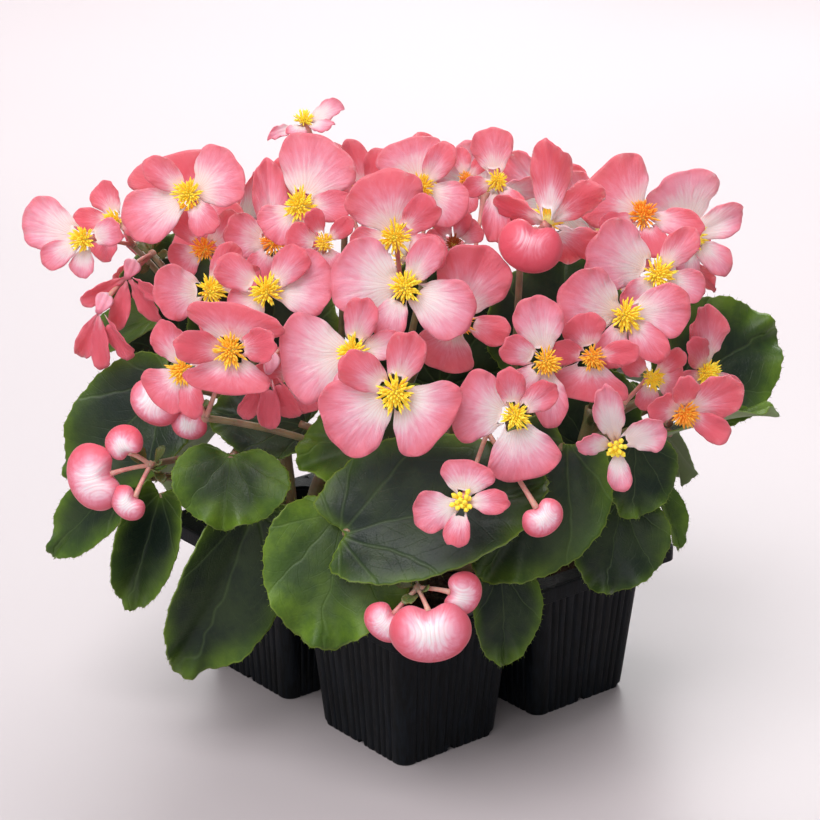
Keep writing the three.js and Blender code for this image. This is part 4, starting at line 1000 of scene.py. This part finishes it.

# %% [markdown]
# ## Leaves
#
# A begonia's leaf is broad and lopsided, with a notch at its stalk, a short point and a scalloped margin.
# The same disc grid is stretched from its middle to that outline. The blade folds along its midrib, droops
# towards its tip and waves at its margin, and its main veins lie in shallow grooves.

# %% Rows of the leaves
# A leaf: its plant; where its stalk meets the blade; its tip; its width; the way its upper face looks, in
# degrees to the right and up; how much it folds; and how much painted sunlight its colour has, from 0 to 1.
LEAVES = [
    ["left", [-82, 20, 117], [-117, 28, 87], 40, -15, 32, 0.1, 0.25],
    ["left", [-90, -10, 130], [-117, -10, 121], 21, -20, 66, 0.15, 0.9],
    ["left", [-97, 26, 86], [-127, 22, 57], 23, -20, 40, 0.1, 0.45],
    ["left", [-85, 43, 87], [-97, 46, 46], 21, -4, 8, 0.5, 0.4],
    ["left", [-60, 62, 108], [-63, 74, 88], 38, -5, 40, 0.1, 0.6],
    ["left", [-53, 58, 87], [-76, 64, 30], 38, 22, 14, 0.22, 0.3],
    ["front", [-36, 48, 112], [-67, 46, 117], 28, -6, 50, 0.1, 0.2],
    ["front", [-24, 77, 94], [-31, 96, 57], 48, -6, 34, 0.08, 0.75],
    ["front", [-25, 85, 89], [36, 91, 109], 46, 4, 36, 0.1, 0.2],
    ["front", [10, 58, 114], [-36, 68, 111], 38, 0, 42, 0.08, 0.55],
    ["front", [48, 66, 114], [23, 84, 75], 44, 16, 26, 0.08, 0.25],
    ["front", [27, 73, 72], [29, 82, 43], 24, 20, 10, 0.1, 0.3],
    ["right", [67, 49, 86], [62, 62, 60], 34, 18, 28, 0.12, 0.2],
    ["right", [71, 50, 108], [71, 61, 86], 28, 30, 24, 0.12, 0.25],
    ["right", [81, 38, 85], [89, 42, 67], 12, 50, 20, 0.25, 0.95],
    ["right", [88, 14, 111], [121, 0, 130], 44, 24, 32, 0.08, 0.5],
    ["right", [82, 33, 103], [117, 27, 113], 28, 170, 74, 0.1, 0.6],
    ["right", [79, -12, 97], [96, -24, 68], 38, 102, 34, 0.1, 0.5],
    ["left", [-84, -24, 104], [-114, -34, 78], 44, -105, 40, 0.1, 0.45],
    ["back", [58, -40, 100], [97, -62, 88], 44, 125, 45, 0.1, 0.35],
    ["back", [30, -60, 96], [54, -102, 78], 46, 150, 40, 0.1, 0.5],
    ["back", [-5, -62, 106], [-8, -110, 88], 46, 180, 42, 0.1, 0.4],
    ["back", [-34, -60, 96], [-61, -98, 78], 44, -150, 40, 0.1, 0.3],
    ["left", [-62, -40, 100], [-103, -58, 88], 44, -125, 42, 0.1, 0.5],
    ["right", [66, -40, 84], [90, -62, 52], 38, 125, 20, 0.12, 0.25],
    ["left", [-66, -38, 84], [-92, -60, 52], 38, -125, 20, 0.12, 0.3],
    ["right", [60, -2, 84], [62, -2, 114], 36, 0, 12, 0.1, 0.15],
    ["right", [50, -18, 106], [52, -22, 148], 50, 0, 12, 0.1, 0.1],
    ["left", [-82, -18, 112], [-86, -26, 152], 42, 0, 12, 0.1, 0.1],
    ["back", [8, -30, 97], [9, -24, 146], 56, 0, 12, 0.1, 0.1],
    ["left", [-54, -12, 106], [-46, -16, 148], 52, 0, 12, 0.1, 0.1],
]

PLANTS = ("front", "right", "left", "back")
LEAF_THICKNESS = 0.8
LEAF_GRID = 43
LEAF_MIDDLE = 0.38  # where the blade's widest part lies, as a share of the way to the tip
HAIR_COUNT = 60
HAIR_LENGTH = 1.1
HAIR_RADIUS = 0.09


# %% From a disc to a leaf
def leaf_edge(turn, length, width):
    """The outline at an angle from the tip: a broad oval with a short point, a notch at its base, one side
    wider than the other, nine scallops a side and small teeth."""
    from_tip = np.abs(turn)
    reach = np.where(np.cos(turn) > 0, 0.62, 0.52)
    point = 0.05 * np.exp(-((from_tip / 0.3) ** 2))
    notch = 0.17 * np.exp(-(((from_tip - np.pi) / 0.3) ** 2))
    wave = 1 + 0.024 * np.abs(np.sin(9 * turn + 0.4 * np.sin(2 * turn))) + 0.008 * np.sin(43 * turn)
    return (
        length * (LEAF_MIDDLE + (reach * np.cos(turn) + point) * wave + notch),
        width / 2 * np.sin(turn) * (1 + 0.08 * np.sin(turn)) * wave,
    )


def leaf_frame(row):
    """A leaf's base, the way to its tip, the way its upper face looks, and its length."""
    base = spot(row[1])
    way = spot(row[2]) - base
    length = np.linalg.norm(way)
    way = way / length
    face = facing(*row[4:6])
    face = face - face.dot(way) * way
    return base, way, face / np.linalg.norm(face), length


def leaf_place(row, x, y, phase):
    """Carries flat points into the part. Their height folds the blade along its midrib, droops its tip,
    ripples with three waves round the blade and smaller ones near its margin, and sinks along the veins."""
    base, way, face, length = leaf_frame(row)
    width, fold = row[3], row[6]
    v, s = x / length, 2 * y / width
    from_middle = v - LEAF_MIDDLE
    round_it = np.arctan2(s, from_middle)
    out = np.hypot(s, from_middle * 2)
    height = fold * width * (np.sqrt(s * s + 0.02) - 0.14) - 0.1 * length * v * v
    height += 0.03 * length * np.sin(3 * round_it) * (s * s + from_middle**2)
    height += 0.026 * width * np.clip(out, 0, 1.3) ** 4 * np.sin(7 * round_it + phase)
    fan = np.arctan2(y, x + 0.02 * length)
    nearest = np.abs((fan * LEAF_RAYS + 0.5) % 1 - 0.5) / LEAF_RAYS * np.hypot(v, s / 2)
    height += 0.01 * width * (1 - np.exp(-((nearest / 0.05) ** 2)))
    return base + x[..., None] * way + y[..., None] * np.cross(face, way) + height[..., None] * face


def add_leaf(pile, row):
    """The blade: the disc stretched from the leaf's middle to its outline, thinner towards its margin."""
    x, y = disc(LEAF_GRID)
    reach, turn = np.hypot(x, y), np.arctan2(y, x)
    length = leaf_frame(row)[-1]
    edge_x, edge_y = leaf_edge(turn, length, row[3])
    middle = LEAF_MIDDLE * length
    flat_x, flat_y = middle + reach * (edge_x - middle), reach * edge_y
    phase = random.random() * 6
    own = (flat_x / length, flat_y / length, phase)
    place = leaf_place(row, flat_x, flat_y, phase)
    pile.add(*shell(with_numbers(place, own, (row[7], 0, reach)), LEAF_THICKNESS * (1 - 0.5 * reach**4)))
    add_leaf_hairs(pile, row, phase)


def add_leaf_hairs(pile, row, phase):
    """Short bristles on the margin: slim cones that leave it outwards, as the blade does there."""
    turn = np.linspace(-2.7, 2.7, HAIR_COUNT) + random.uniform(-0.02, 0.02, HAIR_COUNT)
    length = leaf_frame(row)[-1]
    middle = LEAF_MIDDLE * length
    x, y = leaf_edge(turn, length, row[3])
    root = leaf_place(row, x, y, phase)
    away = leaf_place(row, middle + (x - middle) * 1.04, y * 1.04, phase) - root
    away /= np.linalg.norm(away, axis=-1, keepdims=True)
    t = np.array([-0.2, 0.4, 1.0])
    long = HAIR_LENGTH * random.uniform(0.6, 1, (HAIR_COUNT, 1, 1))
    paths = root[:, None] + long * t[:, None] * away[:, None]
    radii = np.broadcast_to(HAIR_RADIUS * (1 - 0.75 * np.clip(t, 0, 1)), (HAIR_COUNT, 3))
    pile.add(*tubes(paths, radii, 3, (0.8, 0.5, 0), (1, 0, 1)))


# %% [markdown]
# ## Stems
#
# Every plant has three fleshy stems that lean apart, and each leaf and flower stalk springs from the nearest
# one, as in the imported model. They are tubes along curves with three points.

# %% Curves of the stems
SOIL_TOP = 49.5
STEM_TOP = 104
STEM_LEAN = 17
STEM_RADIUS = 2.6
STEM_TURNS = np.radians([40, 160, 280])
CROWN_DEPTH = 9
CROWN_HEIGHT = 12
CROWN_RADIUS = 4.5
PETIOLE_RADIUS = 1.5
PETIOLE_DROP = 18  # how far below its blade a leaf's stalk leaves the stem
PETIOLE_RISE = 7  # how far its bend lies above the straight way
PETIOLE_REACH = 2.5  # how far it runs on under the blade
PEDUNCLE_RADIUS = 1.15
PEDUNCLE_DROP = 20
PEDUNCLE_RISE = 6


def bezier(points, t):
    """A curve with three points: it leaves the first towards the second and comes to the third."""
    a, b, c = points
    t = np.asarray(t)[..., None]
    return (1 - t) ** 2 * a + 2 * t * (1 - t) * b + t**2 * c


def stem_points(middle):
    """The three points of each stem of a plant: they stand further and further out as they rise."""
    result = []
    for turn in STEM_TURNS:
        lean = np.array([math.cos(turn), math.sin(turn), 0])
        heights = (SOIL_TOP - 1, (SOIL_TOP + STEM_TOP) / 2, STEM_TOP)
        leans = (1, STEM_LEAN * 0.75, STEM_LEAN)
        result.append([middle + reach * lean + height * UP for reach, height in zip(leans, heights)])
    return result


def spring_point(stems, end, drop):
    """The place on the nearest stem from which a stalk to this point springs."""
    height = np.clip(end[2] - drop, SOIL_TOP + 8, STEM_TOP - 1)
    share = (height - SOIL_TOP) / (STEM_TOP - SOIL_TOP)
    places = [bezier(points, share) for points in stems]
    return min(places, key=lambda place: np.linalg.norm(place - end))


def add_arch(pile, start, end, rise, radius, pink):
    """A stalk that leaves the stem upwards and bends over to its end, a little thicker at its foot."""
    t = np.linspace(0, 1, 13)
    path = bezier((start, start + 0.45 * (end - start) + rise * UP, end), t)
    radii = radius * (1 + 0.35 * (1 - t) ** 4)
    pinks = np.clip(pink + 0.2 * t, 0, 1)
    pile.add_tube(path, radii, 10, (t[None], 0, random.random()), (pinks[None], 0, 0))


def add_stems(pile, middle, curves):
    """The stems, each swollen at its joints, and the crown that they grow from, sunk in the soil."""
    for points in curves:
        t = np.linspace(0, 1, 15)
        radii = STEM_RADIUS * (1.05 - 0.15 * t + 0.08 * np.sin(t * 14) ** 8)
        pile.add_tube(bezier(points, t), radii, 14, (t[None], 0, random.random()), (0.15, 0, 0))
    crown = middle + (SOIL_TOP - CROWN_DEPTH + np.linspace(0, CROWN_HEIGHT, 9))[:, None] * UP
    radii = CROWN_RADIUS * np.sqrt(np.clip(np.linspace(1.1, 0.25, 9), 0, 1))
    pile.add_tube(crown, radii, 14, (0, 0, 0.2), (0.1, 0, 0))


# %% Every plant
for plant in PLANTS:
    leaves, stems = Pile(), Pile()
    middle = middle_of(f"soil_plug_{plant}")
    curves = stem_points(middle)
    add_stems(stems, middle, curves)
    for row in LEAVES:
        if row[0] != plant:
            continue
        base, way = leaf_frame(row)[:2]
        start = spring_point(curves, base, PETIOLE_DROP)
        add_arch(stems, start, base + PETIOLE_REACH * way, PETIOLE_RISE, PETIOLE_RADIUS, pink=0.1)
        add_leaf(leaves, row)
    for spray in SPRAYS:
        if spray["plant"] != plant:
            continue
        fork = fork_of(spray)
        start = spring_point(curves, fork, PEDUNCLE_DROP)
        add_arch(stems, start, fork, PEDUNCLE_RISE, PEDUNCLE_RADIUS, pink=0.05)
    leaves.make(f"leaves_{plant}", LEAF_FINISH, "foliage", f"plant_{plant}")
    stems.make(f"stems_{plant}", STALK_FINISH, "foliage")
print("leaves:", len(LEAVES))

# %% [markdown]
# ## Soil
#
# The cells are filled with dark peat, which shows in the gaps between the leaves. Its top is a height worked
# out from many round crumbs: at each point, the highest of the half balls above it.

# %% Peat material
def make_peat_material():
    material, g, shader = new_material("peat", roughness=0.95, specular_ior_level=0.15)
    dark = g.use(MOTTLING, first=srgb(30, 22, 17), second=srgb(62, 46, 34), patches=420.0)[0]
    fibres = g.noise(g.drawn_out(0.25), 1400.0, 4.0, 0.7)
    colour = g.mix(g.step(fibres, 0.62, 0.75), dark, srgb(104, 78, 54))
    paint(g, shader, base_color=colour, normal=g.bump(fibres, 0.9, 0.0012))
    return material


PEAT_FINISH = make_peat_material()

# %% Soil plugs
CELL_TAPER = 0.814  # the width of a cell's foot as a share of its mouth
CELL_HEIGHT = 53.6
SOIL_GRID = 49
CRUMBS = 170


def taper_at(height):
    """How wide a cell is at a height, as a share of its mouth."""
    return CELL_TAPER + (1 - CELL_TAPER) * height / CELL_HEIGHT


def add_soil(pile, low, high):
    """A plug that fills its cell: a square grid eased to a rounded square, its top raised by crumbs, and its
    foot the same grid, narrower by the cell's taper."""
    line = np.linspace(-1, 1, SOIL_GRID)
    x, y = np.meshgrid(line, line, indexing="ij")
    x, y = x * np.sqrt(1 - 0.12 * y**2), y * np.sqrt(1 - 0.12 * x**2)
    middle, half = (low + high) / 2, (high - low) / 2
    top_x, top_y = x * half[0], y * half[1]
    crumbs = random.uniform(-0.92, 0.92, (CRUMBS, 2)) * half[:2]
    sizes = random.uniform(0.8, 2.6, CRUMBS)
    apart = np.hypot(top_x[..., None] - crumbs[:, 0], top_y[..., None] - crumbs[:, 1])
    heap = np.sqrt(np.clip(sizes**2 - apart**2, 0, None)).max(-1)
    slow = 0.5 * np.sin(top_x * 0.23 + 1) * np.sin(top_y * 0.19)
    height = SOIL_TOP - 0.9 + slow + heap * (1 - np.maximum(np.abs(x), np.abs(y)) ** 8)
    narrow = taper_at(low[2]) / taper_at(SOIL_TOP)
    top = np.stack([middle[0] + top_x, middle[1] + top_y, height], -1)
    foot = np.stack([middle[0] + narrow * top_x, middle[1] + narrow * top_y, low[2] + 0 * x], -1)
    pile.add(*closed_sheet(with_numbers(top), with_numbers(foot)))


for plant in PLANTS:
    plug = Pile()
    add_soil(plug, *box_of(f"soil_plug_{plant}"))
    plug.make(f"soil_{plant}", PEAT_FINISH, "peat", f"soil_plug_{plant}", sharp=40)
print("soil plugs:", len(PLANTS))

# %% [markdown]
# ## Bedding pack
#
# The pack is thin black plastic, drawn down from one sheet. Fine upright grooves run down every cell, as the
# mould left them, and each foot is notched and stepped. A cell is one closed surface, like a pot on a wheel:
# from the middle of its foot, up its outer wall, over its mouth and down its inner wall.

# %% Plastic material
def make_plastic_material():
    material, g, shader = new_material("pack plastic", specular_ior_level=0.14)
    streak = g.noise(g.drawn_out(0.06), 900.0, 3.0, 0.6)
    colour = g.mix(g.step(streak, 0.35, 0.7), srgb(6, 8, 10), srgb(15, 20, 26))
    # Bluish grey patches: partly dust, which also makes the plastic rougher, and partly a painted sheen.
    dust_and_sheen = g.noise(g.place(), 90.0, 4.0, 0.65)
    colour = g.mix(g.step(dust_and_sheen, 0.5, 0.8, 0.0, 0.3), colour, srgb(34, 42, 52))
    normal = g.bump(g.noise(g.place(), 2600.0) + streak * 1.5, 0.25, 0.0004)
    paint(g, shader, base_color=colour, roughness=g.step(dust_and_sheen, 0.3, 0.7, 0.38, 0.55), normal=normal)
    return material


PLASTIC_FINISH = make_plastic_material()

# %% Sizes of the pack
PITCH = np.array([64, 59])
CELL_TOP = np.array([55.3, 51])
CELL_CORNER = 5
WALL = 0.9
FLOOR = 1.2
MOUTH_INSET = 1  # how much narrower the mouth is, so that the rim covers the tops of the grooves
RIM_BEYOND = 3
RIM_THICKNESS = 1.1
RIM_TOP = CELL_HEIGHT + RIM_THICKNESS
RIM_CORNER = 4
TILE_GAP = 0.4  # how much smaller the flat rim is than its turned-down edge
LIP_HEIGHT = 4.2
LIP_FOOT = CELL_HEIGHT - LIP_HEIGHT
NOTCH_HEIGHT = 1.6
NOTCH_WIDTH = 3
STEP_WIDTH = 8
GROOVES = 11
GROOVE_DEPTH = 0.55
GROOVED_POINTS = 111
LIP_POINTS = 21
CORNER_POINTS = 9
CELLS = [PITCH / 2 * [x, y] for x in (1, -1) for y in (1, -1)]


# %% Outlines
def outline(size, corner, dip, out=0):
    """A rounded rectangle, moved outwards by a distance. Its side dips inwards by the given depths, which
    also say how many points it has, and the other three sides are that one turned by a quarter each time."""
    share = np.linspace(-1, 1, len(dip))
    bend = np.linspace(0, np.pi / 2, CORNER_POINTS)[1:-1]
    inset = np.concatenate([dip, (corner + out) * (1 - np.cos(bend))]) - out
    slope = np.concatenate([share, np.ones(len(bend))])
    extra = np.concatenate([-corner * share, (corner + out) * np.sin(bend) - corner])
    parts = []
    for side in range(4):
        cos, sin = math.cos(side * math.pi / 2), math.sin(side * math.pi / 2)
        x, y = size[side % 2] / 2 - inset, size[(side + 1) % 2] / 2 * slope + extra
        parts.append(np.stack([x * cos - y * sin, x * sin + y * cos], -1))
    return np.concatenate(parts)


def cell_outline(size, groove_depth=0):
    """A cell's outline. Along each side run grooves: dips by a bell curve round each groove's middle, whose
    spacing wanders a little."""
    share = np.linspace(-1, 1, GROOVED_POINTS)
    phase = (share + 1) / 2 * GROOVES + 0.16 * np.sin(9 * share)
    return outline(size, CELL_CORNER, groove_depth * np.exp(-(((phase % 1 - 0.5) / 0.14) ** 2)))


def at_height(loop, height):
    """An outline set at its height in the pack."""
    return np.concatenate([loop, np.broadcast_to(height, len(loop))[:, None]], 1) + PACK_CENTRE


def add_rings(pile, loops, wrap=False):
    """The closed surface through a list of outlines, each with its height."""
    grid = np.array([at_height(loop, height) for loop, height in loops])
    pile.add(*rings(with_numbers(grid)[None], wrap))


# %% Cells
def foot_height(x, y):
    """How high the underside is cut: a notch across each way, and a low step at two corners."""
    half_x, half_y = CELL_TOP * CELL_TAPER / 2
    notch = (np.abs(x) < NOTCH_WIDTH / 2) | (np.abs(y) < NOTCH_WIDTH / 2)
    corner = (np.abs(x) > half_x - STEP_WIDTH / 2) & (np.abs(y) > half_y - STEP_WIDTH / 2) & (x * y > 0)
    return NOTCH_HEIGHT * (notch | corner)


def add_cell(pile, centre):
    """The closed surface of a cell, ring by ring."""
    outer = cell_outline(CELL_TOP, GROOVE_DEPTH)
    inner = cell_outline(CELL_TOP - 2 * WALL - MOUTH_INSET)
    under = [(outer * share, 0.0) for share in (0.03, 0.3, 0.5, 0.7, 0.85, 0.95, 0.985)]
    wall = [(outer, height) for height in (0.5, 1.2, 2, 3, 5, 8, 14, 20, 26, 32, 38, 44, 49, CELL_HEIGHT)]
    mouth = [(inner, height) for height in (CELL_HEIGHT, 40, 25, 12, 5, FLOOR + NOTCH_HEIGHT)]
    floor = [(inner * share, FLOOR + NOTCH_HEIGHT) for share in (0.9, 0.5, 0.03)]
    loops = []
    for shape, height in under + wall + mouth + floor:
        loop = shape * taper_at(height)
        cut = foot_height(loop[:, 0], loop[:, 1]) if height < NOTCH_HEIGHT else 0
        loops.append((loop + centre, np.maximum(height, cut)))
    add_rings(pile, loops)


# %% Rim
def add_rim_tile(pile, centre):
    """The flat rim round one cell's mouth: a ring from the mouth to the edges of its tile."""
    size = PITCH + RIM_BEYOND - TILE_GAP
    mouth = cell_outline(CELL_TOP - MOUTH_INSET) + centre
    tile = cell_outline(size) + np.sign(centre) * size / 2
    add_rings(pile, [(mouth, CELL_HEIGHT), (mouth, RIM_TOP), (tile, RIM_TOP), (tile, CELL_HEIGHT)], wrap=True)


def add_lip(pile):
    """The turned-down edge: a bent strip swept round the rim."""
    section = [(-2.2, RIM_TOP - 0.5), (-2.2, RIM_TOP + 0.01), (-0.7, RIM_TOP + 0.01), (-0.15, RIM_TOP - 0.3),
               (0, RIM_TOP - 0.9), (0, LIP_FOOT + 0.2), (-0.2, LIP_FOOT), (-WALL, LIP_FOOT),
               (-WALL, RIM_TOP - 1.3)]
    size, straight = 2 * (PITCH + RIM_BEYOND), np.zeros(LIP_POINTS)
    loops = [(outline(size, RIM_CORNER, straight, out), height) for out, height in section]
    add_rings(pile, loops, wrap=True)


# %% The whole pack
pack = Pile()
for centre in CELLS:
    add_cell(pack, centre)
    add_rim_tile(pack, centre)
add_lip(pack)
pack.make("bedding_pack", PLASTIC_FINISH, "pack_plastic", "cell_pack", sharp=35)
print("pack:", sum(len(group) for group in pack.faces), "faces")

# %% [markdown]
# ## Floor, light and camera
#
# The pack stands on a pale sheet that runs out of sight, under a broad soft sun and weak lamps, so its
# shadow is faint. The camera has a long lens, and looks down on the front corner from a little above.

# %% Floor
FLOOR_RADIUS = 4


def make_floor():
    turn = np.linspace(0, 2 * np.pi, 96, endpoint=False)
    ring = np.stack([np.cos(turn), np.sin(turn), 0 * turn], -1) * FLOOR_RADIUS
    mesh = bpy.data.meshes.new("floor")
    mesh.from_pydata(ring.tolist(), [], [list(range(len(turn)))])
    material, g, shader = new_material("floor sheet", specular_ior_level=0.35)
    tone = g.noise(g.place(), 1.2)
    paint(g, shader, base_color=g.mix(tone, srgb(182, 172, 175), srgb(190, 181, 184)),
          roughness=g.step(tone, 0.3, 0.7, 0.34, 0.42))
    mesh.materials.append(material)
    add_object("floor", mesh)


make_floor()

# %% Camera
CAMERA_RISE = math.radians(20.5)
CAMERA_DISTANCE = 0.968
CAMERA_TARGET = (PACK_CENTRE + [-3.8, 0, 98.5]) * MM
LENS = 36 * 2800 / 820  # a sensor of 36 mm, and a focal length of 2800 in an image 820 wide


def aim(thing, target):
    """Turns a camera or a light so that it looks at a point."""
    thing.rotation_euler = (Vector(target) - thing.location).to_track_quat("-Z", "Y").to_euler()


camera = add_object("camera", bpy.data.cameras.new("camera"))
camera.data.lens = LENS
camera.data.clip_start = 0.05
camera.location = CAMERA_TARGET + CAMERA_DISTANCE * (math.cos(CAMERA_RISE) * OUT + math.sin(CAMERA_RISE) * UP)
aim(camera, CAMERA_TARGET)
bpy.context.scene.camera = camera


# %% Lights
def add_light(name, kind, place, target, energy, **settings):
    """A light at a place given across, out and up, aimed at another such place."""
    data = bpy.data.lights.new(name, kind)
    data.energy = energy
    for title, value in settings.items():
        setattr(data, title, value)
    light = add_object(name, data)
    light.location = spot(place) * MM
    aim(light, spot(target) * MM)


FLOWERS = (0, 0, 90)
add_light("sun", "SUN", (-340, 420, 1000), (0, 0, 0), 2.6, angle=math.radians(45))
add_light("back", "AREA", (300, -900, 800), FLOWERS, 4, size=0.8)
add_light("front", "AREA", (-250, 1000, 500), FLOWERS, 3, size=0.9)
add_light("backdrop", "AREA", (0, -1500, 1000), (0, -1000, 0), 20, size=1.4)

world = bpy.data.worlds.new("studio")
world.use_nodes = True
sky = world.node_tree.nodes["Background"].inputs
sky["Color"].default_value = (0.97, 0.985, 1, 1)
sky["Strength"].default_value = 0.31
bpy.context.scene.world = world
bpy.context.scene.view_settings.view_transform = "Standard"
